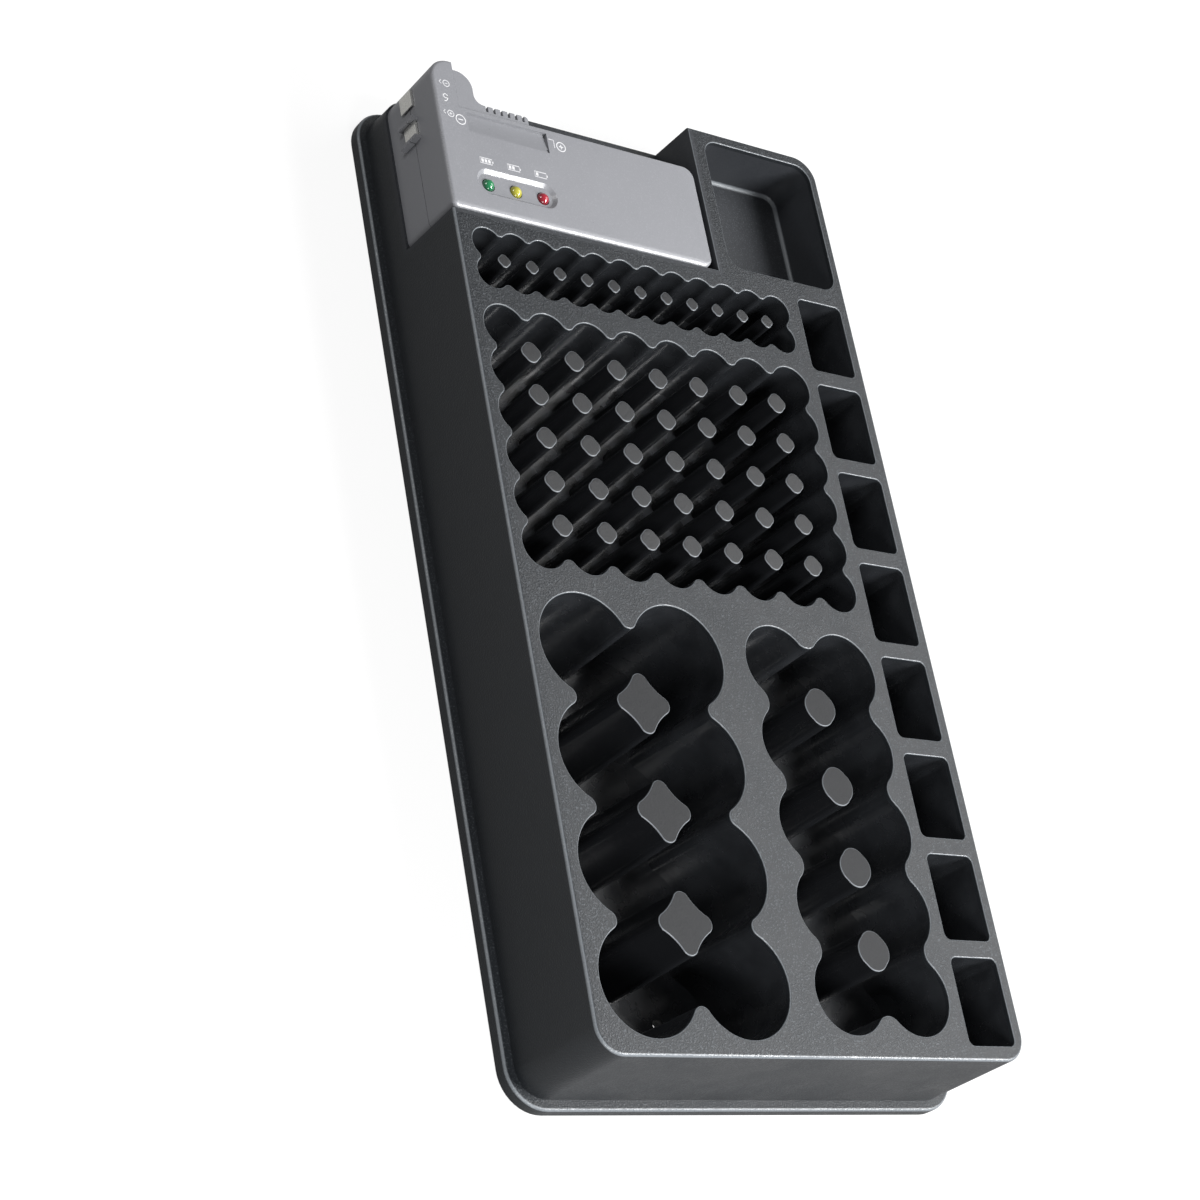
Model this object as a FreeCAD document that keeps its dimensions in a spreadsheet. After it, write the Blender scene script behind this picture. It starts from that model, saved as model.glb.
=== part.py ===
import FreeCAD, Part
import math
import os
import re
import Sketcher
from FreeCAD import Placement, Rotation, Vector

# Battery storage case: a low moulded tray whose deck is pierced by wells for five kinds of
# cell, with an accessory bin and a bay for a removable battery tester.
# +X is the width, +Y runs from the near end to the tester end, +Z is up.
# The origin is the middle of the underside. All lengths are millimetres.

doc = FreeCAD.newDocument("BatteryCase")
sheet = doc.addObject("Spreadsheet::Sheet", "Sizes")
layout = doc.addObject("App::VarSet", "Layout")

drivingSizes = [
    # case moulding
    ("case_wall", 1.8), ("deck_thickness", 1.8), ("deck_corner", 9.5), ("deck_edge_round", 1.2),
    ("wall_lean", 1.0), ("flange_reach", 3.5), ("flange_height", 2.6), ("flange_round", 1.2),
    ("base_thickness", 2.4), ("base_edge_round", 0.6), ("overrun", 1.0),
    ("liner_wall", 1.5), ("liner_floor", 1.6), ("cell_standout", 19.5), ("mouth_round", 0.45),
    # margins between the wells and the edges of the deck
    ("left_margin", 4.6), ("right_margin", 4.1), ("near_margin", 5.55), ("row_gap", 7.35),
    ("block_gap", 6.35), ("big_block_gap", 10.6), ("big_block_inset", 0.27),
    ("column_gap", 4.7), ("bay_gap", 5.95),
    ("pocket_near_margin", 5.1), ("bin_right_margin", 3.4), ("bin_far_margin", 4.1),
    ("bin_gap", 7.4), ("bay_wall_band", 6.1),
    # penlight wells
    ("aa_cell_length", 50.5), ("aa_columns", 8), ("aa_rows", 6), ("aa_pitch_x", 17.67),
    ("aa_pitch_y", 16.06), ("aa_mouth_radius", 8.4), ("aa_floor_radius", 7.9),
    ("aa_side_nose", 2.4), ("aa_end_nose", 2.8), ("aa_post_radius", 8.4),
    ("aa_side_tip", 2.4), ("aa_end_tip", 2.8),
    # slim penlight wells
    ("aaa_cell_length", 44.5), ("aaa_columns", 12), ("aaa_rows", 2), ("aaa_pitch_x", 11.46),
    ("aaa_pitch_y", 11.4), ("aaa_mouth_radius", 6.05), ("aaa_floor_radius", 5.65),
    ("aaa_side_nose", 2.0), ("aaa_end_nose", 2.2), ("aaa_post_radius", 5.8),
    ("aaa_side_tip", 1.6), ("aaa_end_tip", 1.6),
    # middle round wells
    ("c_cell_length", 50.0), ("c_columns", 2), ("c_rows", 5), ("c_pitch_x", 28.75),
    ("c_pitch_y", 28.3), ("c_mouth_radius", 13.9), ("c_floor_radius", 13.4),
    ("c_side_nose", 5.6), ("c_end_nose", 5.0), ("c_post_radius", 13.9),
    ("c_side_tip", 5.6), ("c_end_tip", 5.0),
    # large round wells
    ("d_cell_length", 61.5), ("d_columns", 2), ("d_rows", 4), ("d_pitch_x", 36.5),
    ("d_pitch_y", 36.4), ("d_mouth_radius", 18.1), ("d_floor_radius", 17.5),
    ("d_side_nose", 3.2), ("d_end_nose", 3.2), ("d_post_radius", 18.1),
    ("d_side_tip", 3.2), ("d_end_tip", 3.2),
    # block cell pockets
    ("block_cell_length", 48.5), ("pocket_width", 20.7), ("pocket_length", 29.9),
    ("pocket_pitch", 35.98), ("pocket_count", 8), ("pocket_corner", 2.5), ("pocket_lean", 0.8),
    ("pocket_floor_round", 1.0),
    # accessory bin
    ("bin_width", 51.0), ("bin_depth", 20.8), ("bin_corner", 6.5), ("bin_lean", 0.8),
    ("bin_floor_round", 1.8),
    # bay and fixings
    ("lip_thickness", 2.35), ("lip_height", 8.2), ("boss_radius", 2.8), ("thread_clearance", 0.02),
    ("screw_radius", 1.5), ("screw_head_radius", 2.7), ("screw_head_height", 1.5),
    ("screw_length", 9.0), ("screw_drive_radius", 0.9), ("screw_drive_depth", 0.7),
    ("screw_clearance", 0.15), ("wall_hole_radius", 1.9), ("wall_hole_inset", 2.0),
    # tester
    ("tester_height", 28.5), ("tester_lower_height", 13.5), ("tester_body_depth", 42.5),
    ("tester_block_width", 9.6), ("slider_room", 16.65), ("tester_gap", 0.4),
    ("tester_side_gap", 2.5), ("tester_left_inset", 0.4), ("tester_wall", 1.8),
    ("tester_front_round", 2.6), ("tester_left_round", 1.3), ("tester_corner", 4.5),
    ("tester_block_corner", 8.6), ("tester_left_corner", 2.6), ("tester_right_corner", 3.8),
    ("tester_edge_round", 0.4), ("seam_width", 0.35), ("seam_depth", 0.4),
    # light window
    ("light_pitch", 11.35), ("light_left", 17.05), ("light_near", 12.8), ("light_radius", 2.45),
    ("light_rim_radius", 2.9), ("light_rim_height", 1.0), ("light_hole_clearance", 0.1),
    ("light_crown", 0.45), ("window_width", 33.3), ("window_length", 10.3),
    ("window_depth", 1.2), ("window_lean", 1.3), ("window_offset", 0.65),
    # scoop in the tester's top
    ("scoop_width", 33.5), ("scoop_length", 8.3), ("scoop_depth", 1.05), ("scoop_left", 12.1),
    ("scoop_setback", 1.8), ("scoop_slot_width", 0.8), ("scoop_slot_length", 1.6),
    # slider
    ("slider_gap", 0.3), ("face_gap", 0.15), ("slider_travel", 62.0), ("slider_length", 29.2),
    ("slider_drop", 0.4), ("slider_height", 26.0), ("grip_thickness", 3.3), ("jaw_thickness", 7.2),
    ("jaw_reach", 15.3), ("jaw_crown", 6.2), ("jaw_sweep", 3.5), ("grip_end_round", 1.2),
    ("rib_count", 6), ("rib_pitch", 3.05), ("rib_width", 1.0), ("rib_depth", 2.4),
    ("rib_end_margin", 1.5),
    ("carriage_length", 10.0), ("carriage_depth", 6.0), ("carriage_height", 7.0),
    ("tongue_height", 3.4), ("rod_radius", 1.2), ("rod_clearance", 0.08), ("rod_setback", 6.3),
    ("saddle_thickness", 2.0), ("spring_radius", 2.3), ("spring_wire", 0.3),
    ("spring_turns", 24), ("spring_rest_gap", 0.2),
    # contacts and board
    ("contact_thickness", 0.4), ("contact_width", 6.4), ("contact_tall", 7.0),
    ("contact_stand", 0.5), ("contact_tab", 2.3), ("contact_drop", 12.4),
    ("contact_far", 6.6), ("contact_pitch", 12.7), ("contact_clearance", 0.15),
    ("guard_thickness", 1.1), ("guard_reach", 2.4), ("guard_above", 1.0), ("guard_below", 1.7),
    ("plate_length", 9.0), ("plate_tall", 12.0), ("plate_drop", 4.0),
    ("board_thickness", 1.6), ("board_width", 84.0), ("board_length", 26.0),
    ("board_inset", 2.4), ("board_boss_radius", 2.4), ("board_boss_inset", 4.0),
    ("column_radius", 2.8), ("column_inset", 5.1), ("small_screw_radius", 1.0),
    ("small_head_radius", 1.9), ("small_head_height", 1.2), ("small_screw_length", 5.5),
]
for row, (alias, size) in enumerate(drivingSizes, start=1):
    sheet.set("A%d" % row, alias)
    sheet.set("B%d" % row, str(size))
    sheet.setAlias("B%d" % row, alias)
doc.recompute()

knownNames = {alias: "Sizes." + alias for alias, size in drivingSizes}


def bound(rule):
    """Turn a rule in plain size names into an expression on the sheet and the layout."""
    return re.sub(r"[a-z]+(?:_[a-z]+)*", lambda word: knownNames.get(word.group(), word.group()), rule)


def derive(name, rule):
    """Keep a size that follows from the driving sizes as a bound property of the layout."""
    layout.addProperty("App::PropertyFloat", name, "Layout")
    layout.setExpression(name, bound(rule))
    knownNames[name] = "Layout." + name
    doc.recompute()


def size(rule):
    """The present number behind a rule, for shapes and edge picks that code works out."""
    return float(layout.evalExpression(bound(rule)))


# The wells: their blocks, and how the deck follows from them
wellBlocks = ["aa", "aaa", "c", "d"]
for block in wellBlocks:
    derive(block + "_width", "({0}_columns - 1) * {0}_pitch_x + 2 * {0}_mouth_radius".format(block))
    derive(block + "_length", "({0}_rows - 1) * {0}_pitch_y + 2 * {0}_mouth_radius".format(block))
    derive(block + "_depth", block + "_cell_length - cell_standout")
derive("big_width", "d_width + big_block_gap + c_width + 2 * big_block_inset")
derive("main_width", "max(aa_width; aaa_width; big_width)")
derive("big_length", "max(d_length; c_length)")
derive("pocket_depth", "block_cell_length - cell_standout")
derive("pocket_row_length", "(pocket_count - 1) * pocket_pitch + pocket_length")

derive("deepest_well", "max(d_depth; c_depth; aa_depth; aaa_depth)")
derive("case_height", "base_thickness + liner_floor + deepest_well")
derive("deck_width", "left_margin + main_width + column_gap + pocket_width + right_margin")
derive("bay_length", "tester_gap + tester_body_depth + slider_room + tester_gap + lip_thickness")
derive("blocks_length", "big_length + row_gap + aa_length + block_gap + aaa_length")
derive("deck_length", "near_margin + blocks_length + bay_gap + bay_length")
derive("left_edge", "-deck_width / 2")
derive("right_edge", "deck_width / 2")
derive("near_edge", "-deck_length / 2")
derive("far_edge", "deck_length / 2")
derive("base_reach", "wall_lean + flange_reach")
derive("overall_width", "deck_width + 2 * base_reach")
derive("overall_length", "deck_length + 2 * base_reach")
derive("liner_top", "case_height - deck_thickness")
derive("flange_top", "base_thickness + flange_height")

# Centre of each block on the deck
derive("main_left", "left_edge + left_margin")
derive("main_right", "main_left + main_width")
derive("aa_centre_x", "main_left + main_width / 2")
derive("aaa_centre_x", "main_left + main_width / 2")
derive("d_centre_x", "main_left + big_block_inset + d_width / 2")
derive("c_centre_x", "main_right - big_block_inset - c_width / 2")
derive("d_centre_y", "near_edge + near_margin + big_length / 2")
derive("c_centre_y", "near_edge + near_margin + big_length / 2")
derive("aa_near_edge", "near_edge + near_margin + big_length + row_gap")
derive("aa_centre_y", "aa_near_edge + aa_length / 2")
derive("aaa_near_edge", "aa_near_edge + aa_length + block_gap")
derive("aaa_centre_y", "aaa_near_edge + aaa_length / 2")
derive("pocket_centre_x", "main_right + column_gap + pocket_width / 2")
derive("first_pocket_y", "near_edge + pocket_near_margin + pocket_length / 2")
derive("pocket_row_far", "near_edge + pocket_near_margin + pocket_row_length")
derive("bin_near", "pocket_row_far + bin_gap")
derive("bin_length", "far_edge - bin_far_margin - bin_near")
derive("bin_centre_x", "right_edge - bin_right_margin - bin_width / 2")
derive("bin_centre_y", "bin_near + bin_length / 2")
derive("bin_left", "right_edge - bin_right_margin - bin_width")
derive("bin_floor_height", "case_height - bin_depth")

# The tester bay and the tester in it
derive("bay_right", "bin_left - bay_wall_band")
derive("bay_near", "far_edge - bay_length")
derive("bay_floor", "case_height - tester_height")
derive("lip_near", "far_edge - lip_thickness")
derive("tester_left", "left_edge + tester_left_inset")
derive("tester_right", "bay_right - tester_side_gap")
derive("tester_near", "bay_near + tester_gap")
derive("tester_far", "tester_near + tester_body_depth")
derive("block_right", "tester_left + tester_block_width")
derive("block_far", "far_edge - tester_left_inset")
derive("tester_top", "case_height + 0 * tester_height")
derive("parting_height", "bay_floor + tester_lower_height")
derive("tester_ceiling", "tester_top - tester_wall")
derive("window_floor", "tester_top - window_depth")
derive("light_top", "tester_top + light_crown")
derive("light_centre_x", "tester_left + light_left")
derive("light_centre_y", "tester_near + light_near")
derive("window_centre_x", "light_centre_x + light_pitch + light_hole_clearance")
derive("window_centre_y", "light_centre_y + window_offset")
derive("board_top", "window_floor - light_radius - light_rim_height - tester_wall - board_thickness")
derive("scoop_near", "tester_far - scoop_setback - scoop_length")
derive("scoop_start", "tester_left + scoop_left")

# The slider on its rod
derive("slider_left", "block_right + face_gap")
derive("slider_near", "tester_far + face_gap")
derive("slider_top", "tester_top - slider_drop")
derive("slider_bottom", "slider_top - slider_height")
derive("rod_y", "tester_far - rod_setback")
derive("carriage_left", "slider_left + saddle_thickness + slider_gap")
derive("carriage_right", "carriage_left + carriage_length")
derive("carriage_near", "rod_y - carriage_depth / 2")
derive("rod_left", "slider_left - saddle_thickness")
derive("rod_right", "tester_right - tester_wall - tester_gap")
derive("right_saddle_left", "rod_right - saddle_thickness")

# Holes, scoop, board, contacts and saddles
derive("wall_hole_x", "d_centre_x + d_pitch_x / 2 - wall_hole_inset")
derive("wall_hole_near", "d_centre_y - (d_rows - 1) / 2 * d_pitch_y")
derive("wall_hole_far", "bay_near + tester_body_depth / 2")
derive("scoop_curve", "(scoop_length ^ 2 + scoop_depth ^ 2) / (2 * scoop_depth)")
derive("scoop_far", "scoop_near + scoop_length")
derive("saddle_near", "rod_y - carriage_depth / 2")
derive("saddle_far", "rod_y + carriage_depth / 2")
derive("board_left", "tester_left + tester_block_width + board_inset")
derive("board_near", "tester_near + tester_wall + board_inset")
derive("side_contact_far", "block_far - contact_far")
derive("contact_top", "tester_top - contact_drop")
derive("plate_y", "slider_near + jaw_reach / 2")
derive("plate_top", "tester_top - plate_drop")


def place(piece, x="0", y="0", z="0"):
    """Bind a piece's place to the sheet."""
    piece.setExpression("Placement.Base.x", bound(x))
    piece.setExpression("Placement.Base.y", bound(y))
    piece.setExpression("Placement.Base.z", bound(z))
    return piece


def box(name, low, high):
    """A block between two corners, each given as three rules."""
    piece = doc.addObject("Part::Box", name)
    for side, start, end in zip(("Length", "Width", "Height"), low, high):
        piece.setExpression(side, bound("(%s) - (%s)" % (end, start)))
    return place(piece, *low)


def cylinder(name, radius, height, x, y, z):
    """An upright round bar standing on the point x, y, z."""
    piece = doc.addObject("Part::Cylinder", name)
    piece.setExpression("Radius", bound(radius))
    piece.setExpression("Height", bound(height))
    return place(piece, x, y, z)


def lying_cylinder(name, radius, length, x, y, z):
    """A round bar along +X that starts at the point x, y, z."""
    piece = cylinder(name, radius, length, x, y, z)
    piece.Placement.Rotation = Rotation(Vector(0, 1, 0), 90)
    return piece


def fuse(name, pieces):
    piece = doc.addObject("Part::MultiFuse", name)
    piece.Shapes = pieces
    return piece


def cut(name, base, tool):
    piece = doc.addObject("Part::Cut", name)
    piece.Base = base
    piece.Tool = tool
    return piece


def common(name, base, tool):
    piece = doc.addObject("Part::MultiCommon", name)
    piece.Shapes = [base, tool]
    return piece


def group(name, pieces):
    """Separate solids kept together as one object."""
    piece = doc.addObject("Part::Compound", name)
    piece.Links = pieces
    return piece


def shaped(name, shape, x="0", y="0", z="0"):
    """A shape that code works out, placed by the sheet."""
    piece = doc.addObject("Part::Feature", name)
    piece.Shape = shape
    return place(piece, x, y, z)


def datum_plane(body, role):
    return [plane for plane in body.Origin.OriginFeatures if plane.Role == role][0]


def new_sketch(body, name, role="XY_Plane", x="0", y="0", z="0"):
    sketch = body.newObject("Sketcher::SketchObject", name)
    sketch.AttachmentSupport = [(datum_plane(body, role), "")]
    sketch.MapMode = "FlatFace"
    sketch.setExpression("AttachmentOffset.Base.x", bound(x))
    sketch.setExpression("AttachmentOffset.Base.y", bound(y))
    sketch.setExpression("AttachmentOffset.Base.z", bound(z))
    return sketch


def rounded_sketch(body, name, width, length, corner, x="0", y="0", z="0"):
    """A rounded rectangle about the point x, y at height z."""
    sketch = new_sketch(body, name, "XY_Plane", x, y, z)
    half_w, half_l, r = size(width) / 2, size(length) / 2, size(corner)
    inner_w, inner_l = half_w - r, half_l - r
    turns = [(inner_w, -inner_l, -90), (inner_w, inner_l, 0), (-inner_w, inner_l, 90),
             (-inner_w, -inner_l, 180)]
    ends = [(inner_w, -half_l), (half_w, inner_l), (-inner_w, half_l), (-half_w, -inner_l)]
    starts = [(-inner_w, -half_l), (half_w, -inner_l), (inner_w, half_l), (-half_w, inner_l)]
    for start, end, (cx, cy, angle) in zip(starts, ends, turns):
        sketch.addGeometry(Part.LineSegment(Vector(start[0], start[1], 0), Vector(end[0], end[1], 0)))
        circle = Part.Circle(Vector(cx, cy, 0), Vector(0, 0, 1), r)
        sketch.addGeometry(Part.ArcOfCircle(circle, math.radians(angle), math.radians(angle + 90)))
    sides = 8
    for index in range(sides):
        sketch.addConstraint(Sketcher.Constraint("Tangent", index, 2, (index + 1) % sides, 1))
    sketch.addConstraint(Sketcher.Constraint("Horizontal", 4))
    sketch.addConstraint(Sketcher.Constraint("Vertical", 6))
    for index in (3, 5, 7):
        sketch.addConstraint(Sketcher.Constraint("Equal", 1, index))
    sketch.addConstraint(Sketcher.Constraint("Symmetric", 0, 1, 0, 2, -2))
    sketch.addConstraint(Sketcher.Constraint("Symmetric", 2, 1, 2, 2, -1))
    radius = sketch.addConstraint(Sketcher.Constraint("Radius", 1, r))
    wide = sketch.addConstraint(Sketcher.Constraint("DistanceX", 6, 1, 2, 1, 2 * half_w))
    long = sketch.addConstraint(Sketcher.Constraint("DistanceY", 0, 1, 4, 1, 2 * half_l))
    sketch.setExpression("Constraints[%d]" % radius, bound(corner))
    sketch.setExpression("Constraints[%d]" % wide, bound(width))
    sketch.setExpression("Constraints[%d]" % long, bound(length))
    return sketch


def pad(body, name, sketch, length, down=False):
    feature = body.newObject("PartDesign::Pad", name)
    feature.Profile = sketch
    feature.setExpression("Length", bound(length))
    feature.Reversed = down
    sketch.Visibility = False
    return feature


def edges_where(shape, test):
    return ["Edge%d" % number for number, edge in enumerate(shape.Edges, start=1) if test(edge)]


def level_edges(shape, height):
    """Edges that lie flat at one height."""
    near = 1e-4
    return edges_where(shape, lambda edge: abs(edge.BoundBox.ZMin - height) < near
                       and abs(edge.BoundBox.ZMax - height) < near)


def edges_at(shape, **places):
    """Edges that keep to one place along each named axis, such as X=..., Z=..."""
    near = 1e-3

    def keeps_to(edge):
        extent = edge.BoundBox
        return all(abs(getattr(extent, axis + side) - place) < near
                   for axis, place in places.items() for side in ("Min", "Max"))
    return edges_where(shape, keeps_to)


def rounded(name, base, rounds):
    """Fillet edges of any piece, given as pairs of an edge's name and its radius."""
    piece = doc.addObject("Part::Fillet", name)
    piece.Base = base
    piece.Edges = [(int(edge[4:]), radius, radius) for edge, radius in rounds]
    return piece


def round_edges(body, name, feature, edges, radius):
    """Fillet named edges of a feature in its body."""
    piece = body.newObject("PartDesign::Fillet", name)
    piece.Base = (feature, edges)
    piece.setExpression("Radius", bound(radius))
    return piece


def new_body(name):
    return doc.addObject("PartDesign::Body", name)


subparts = []


def subpart(piece, label):
    """Name a finished piece; its label is also its file's name."""
    piece.Label = label
    subparts.append(piece)
    return piece


# Outlines of the wells: circles side by side, joined by rounded noses

def scalloped_outline(columns, rows, pitch_x, pitch_y, radius, side_nose, end_nose, height):
    """Closed outline round a grid of circles, seen from above, anticlockwise. A side nose
    lies between two rows, and an end nose between two columns."""
    left = -(columns - 1) * pitch_x / 2
    near = -(rows - 1) * pitch_y / 2
    grid = [(column, 0) for column in range(columns)]
    grid += [(columns - 1, row) for row in range(1, rows)]
    grid += [(column, rows - 1) for column in range(columns - 2, -1, -1)]
    grid += [(0, row) for row in range(rows - 2, 0, -1)]
    centres = [Vector(left + column * pitch_x, near + row * pitch_y, height) for column, row in grid]
    leaving, arriving, noseTips = [], [], []
    for here, there in zip(centres, centres[1:] + centres[:1]):
        span = there - here
        outward = Vector(span.y, -span.x, 0).normalize()
        nose = end_nose if abs(span.x) > abs(span.y) else side_nose
        rise = math.sqrt((radius + nose) ** 2 - (span.Length / 2) ** 2)
        noseCentre = (here + there) * 0.5 + outward * rise
        leaving.append(here + (noseCentre - here) * (radius / (radius + nose)))
        arriving.append(there + (noseCentre - there) * (radius / (radius + nose)))
        noseTips.append(noseCentre - outward * nose)
    edges = []
    for index, centre in enumerate(centres):
        start, end = arriving[index - 1], leaving[index]
        first = math.atan2(start.y - centre.y, start.x - centre.x)
        last = math.atan2(end.y - centre.y, end.x - centre.x)
        middle = first + ((last - first) % (2 * math.pi)) / 2
        crest = centre + Vector(math.cos(middle), math.sin(middle), 0) * radius
        edges.append(Part.Arc(start, crest, end).toShape())
        edges.append(Part.Arc(end, noseTips[index], arriving[index]).toShape())
    return Part.Wire(edges)


def post_outline(half_x, half_y, radius, side_tip, end_tip, height):
    """Closed outline of the star that is left between four wells. A side tip points along
    X between two rows, and an end tip along Y between two columns."""
    corners = [(1, 1), (-1, 1), (-1, -1), (1, -1)]
    edges = []
    for index, (sx, sy) in enumerate(corners):
        well = Vector(sx * half_x, sy * half_y, height)
        nextX, nextY = corners[(index + 1) % 4]
        following = Vector(nextX * half_x, nextY * half_y, height)
        previousX, previousY = corners[index - 1]
        previous = Vector(previousX * half_x, previousY * half_y, height)
        axis = Vector(0, 0, height)

        def tip_between(one, other):
            middle = (one + other) * 0.5
            inward = (axis - middle).normalize()
            tip = end_tip if abs(one.x - other.x) > abs(one.y - other.y) else side_tip
            rise = math.sqrt((radius + tip) ** 2 - ((one - other).Length / 2) ** 2)
            return middle + inward * rise, tip

        before, tipBefore = tip_between(previous, well)
        after, tipAfter = tip_between(well, following)
        start = well + (before - well) * (radius / (radius + tipBefore))
        end = well + (after - well) * (radius / (radius + tipAfter))
        hollow = well + (axis - well).normalize() * radius
        edges.append(Part.Arc(start, hollow, end).toShape())
        point = after + ((well + following) * 0.5 - axis).normalize() * tipAfter
        nextStart = following + (after - following) * (radius / (radius + tipAfter))
        edges.append(Part.Arc(end, point, nextStart).toShape())
    return Part.Wire(edges)


def well_loft(block, bottom, top, extra):
    """Tapered solid with the outline of a block of wells, or of its liner's outside."""
    depth = size(block + "_depth")
    mouth = size(block + "_mouth_radius")
    narrowing = (mouth - size(block + "_floor_radius")) / depth
    leastNose = size("liner_wall") / 3
    noses = [max(size(block + nose) - extra, leastNose) for nose in ("_side_nose", "_end_nose")]
    wires = []
    for height in (bottom, top):
        radius = mouth - narrowing * (size("case_height") - height) + extra
        wires.append(scalloped_outline(int(size(block + "_columns")), int(size(block + "_rows")),
                                       size(block + "_pitch_x"), size(block + "_pitch_y"),
                                       radius, *noses, height))
    return Part.makeLoft(wires, True, True)


def post_shape(block):
    """One drafted post, standing on the floor of its block and rounded at the deck."""
    depth = size(block + "_depth")
    narrowing = (size(block + "_mouth_radius") - size(block + "_floor_radius")) / depth
    top, bottom = size("case_height"), size("case_height") - depth
    half_x, half_y = size(block + "_pitch_x") / 2, size(block + "_pitch_y") / 2
    radius, tips = size(block + "_post_radius"), [size(block + "_side_tip"), size(block + "_end_tip")]
    wires = [post_outline(half_x, half_y, radius - narrowing * (top - height), *tips, height)
             for height in (bottom, top)]
    solid = Part.makeLoft(wires, True, True)
    names = level_edges(solid, top)
    rim = [solid.Edges[int(name[4:]) - 1] for name in names]
    return solid.makeFillet(size("mouth_round"), rim)


doc.recompute()
wellSpaces, wellLiners, wellPosts = {}, {}, {}
for block in wellBlocks:
    top = size("case_height + overrun")
    floor = size("case_height - " + block + "_depth")
    spaceShape = well_loft(block, floor, top, 0)
    centre = (block + "_centre_x", block + "_centre_y")
    wellSpaces[block] = shaped(block + "_space", spaceShape, *centre)
    linerShape = well_loft(block, floor - size("liner_floor"), size("liner_top"), size("liner_wall"))
    outside = shaped(block + "_liner_outside", linerShape, *centre)
    wellLiners[block] = subpart(cut(block + "_liner", outside, wellSpaces[block]), block + "_well_liner")
    columns, rows = int(size(block + "_columns")), int(size(block + "_rows"))
    onePost = post_shape(block)
    posts = []
    for column in range(columns - 1):
        for row in range(rows - 1):
            post = onePost.copy()
            post.translate(Vector((column - (columns - 2) / 2) * size(block + "_pitch_x"),
                                  (row - (rows - 2) / 2) * size(block + "_pitch_y"), 0))
            posts.append(post)
    wellPosts[block] = subpart(shaped(block + "_post_group", Part.makeCompound(posts), *centre),
                               block + "_well_posts")


def tapered_space(name, width, length, corner, lean, depth, floor_round, x, y):
    """A drafted rounded pocket from its floor to just above the deck."""
    body = new_body(name)
    outline = rounded_sketch(body, name + "_floor", "%s - 2 * %s" % (width, lean),
                             "%s - 2 * %s" % (length, lean), "%s - %s" % (corner, lean), x, y,
                             "case_height - " + depth)
    walls = pad(body, name + "_walls", outline, depth + " + overrun")
    walls.setExpression("TaperAngle", bound("atan(%s / %s)" % (lean, depth)))
    doc.recompute()
    edges = level_edges(body.Shape, size("case_height - " + depth))
    round_edges(body, name + "_floor_round", walls, edges, floor_round)
    doc.recompute()
    return body


def plain_liner(name, width, length, corner, depth, x, y):
    """Outside of a pocket's liner, from under its floor to the underside of the deck."""
    body = new_body(name)
    outline = rounded_sketch(body, name + "_outline", "(%s) + 2 * liner_wall" % width,
                             "(%s) + 2 * liner_wall" % length, "%s + liner_wall" % corner, x, y,
                             "case_height - (%s) - liner_floor" % depth)
    pad(body, name + "_block", outline, "(%s) + liner_floor - deck_thickness" % depth)
    doc.recompute()
    return body


# Block cell pockets: one strip with a row of drafted pockets
onePocket = tapered_space("pocket_space", "pocket_width", "pocket_length", "pocket_corner",
                          "pocket_lean", "pocket_depth", "pocket_floor_round",
                          "pocket_centre_x", "first_pocket_y")
pocketShapes = []
for index in range(int(size("pocket_count"))):
    pocketCopy = onePocket.Shape.copy()
    pocketCopy.translate(Vector(0, index * size("pocket_pitch"), 0))
    pocketShapes.append(pocketCopy)
pocketSpaces = shaped("pocket_spaces", Part.makeCompound(pocketShapes))
pocketOutside = plain_liner("pocket_strip", "pocket_width", "pocket_row_length", "pocket_corner",
                            "pocket_depth", "pocket_centre_x",
                            "near_edge + pocket_near_margin + pocket_row_length / 2")
subpart(cut("pocket_row", pocketOutside, pocketSpaces), "block_cell_pockets")

# Accessory bin
binSpace = tapered_space("bin_space", "bin_width", "bin_length", "bin_corner", "bin_lean",
                         "bin_depth", "bin_floor_round", "bin_centre_x", "bin_centre_y")
binOutside = plain_liner("bin_block", "bin_width", "bin_length", "bin_corner", "bin_depth",
                         "bin_centre_x", "bin_centre_y")

# Case shell: drafted outer walls, deck and flange, hollow from below
caseBody = new_body("case_block")
wallFoot = rounded_sketch(caseBody, "wall_foot", "deck_width + 2 * wall_lean",
                          "deck_length + 2 * wall_lean", "deck_corner + wall_lean", z="base_thickness")
caseWalls = pad(caseBody, "case_walls", wallFoot, "case_height - base_thickness")
caseWalls.setExpression("TaperAngle", bound("-atan(wall_lean / (case_height - base_thickness))"))
doc.recompute()
round_edges(caseBody, "deck_round", caseWalls, level_edges(caseBody.Shape, size("case_height")),
            "deck_edge_round")
flangeOutline = rounded_sketch(caseBody, "flange_outline", "overall_width", "overall_length",
                               "deck_corner + base_reach", z="base_thickness")
flange = pad(caseBody, "flange", flangeOutline, "flange_height")
doc.recompute()
nearFlange = size("flange_top")
outerReach = size("overall_width") / 2 - size("base_reach") / 2
flangeEdges = edges_where(caseBody.Shape, lambda edge: abs(edge.BoundBox.ZMin - nearFlange) < 1e-4
                          and abs(edge.BoundBox.ZMax - nearFlange) < 1e-4
                          and (max(abs(edge.BoundBox.XMin), abs(edge.BoundBox.XMax)) > outerReach
                               or max(abs(edge.BoundBox.YMin), abs(edge.BoundBox.YMax))
                               > size("overall_length") / 2 - size("base_reach") / 2))
round_edges(caseBody, "flange_edge", flange, flangeEdges, "flange_round")
doc.recompute()

hollowBody = new_body("case_hollow")
hollowFoot = rounded_sketch(hollowBody, "hollow_foot", "deck_width + 2 * wall_lean - 2 * case_wall",
                            "deck_length + 2 * wall_lean - 2 * case_wall",
                            "deck_corner + wall_lean - case_wall", z="base_thickness")
hollowWalls = pad(hollowBody, "hollow_walls", hollowFoot, "liner_top - base_thickness")
hollowWalls.setExpression("TaperAngle", bound("-atan(wall_lean / (case_height - base_thickness))"))
doc.recompute()

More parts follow.
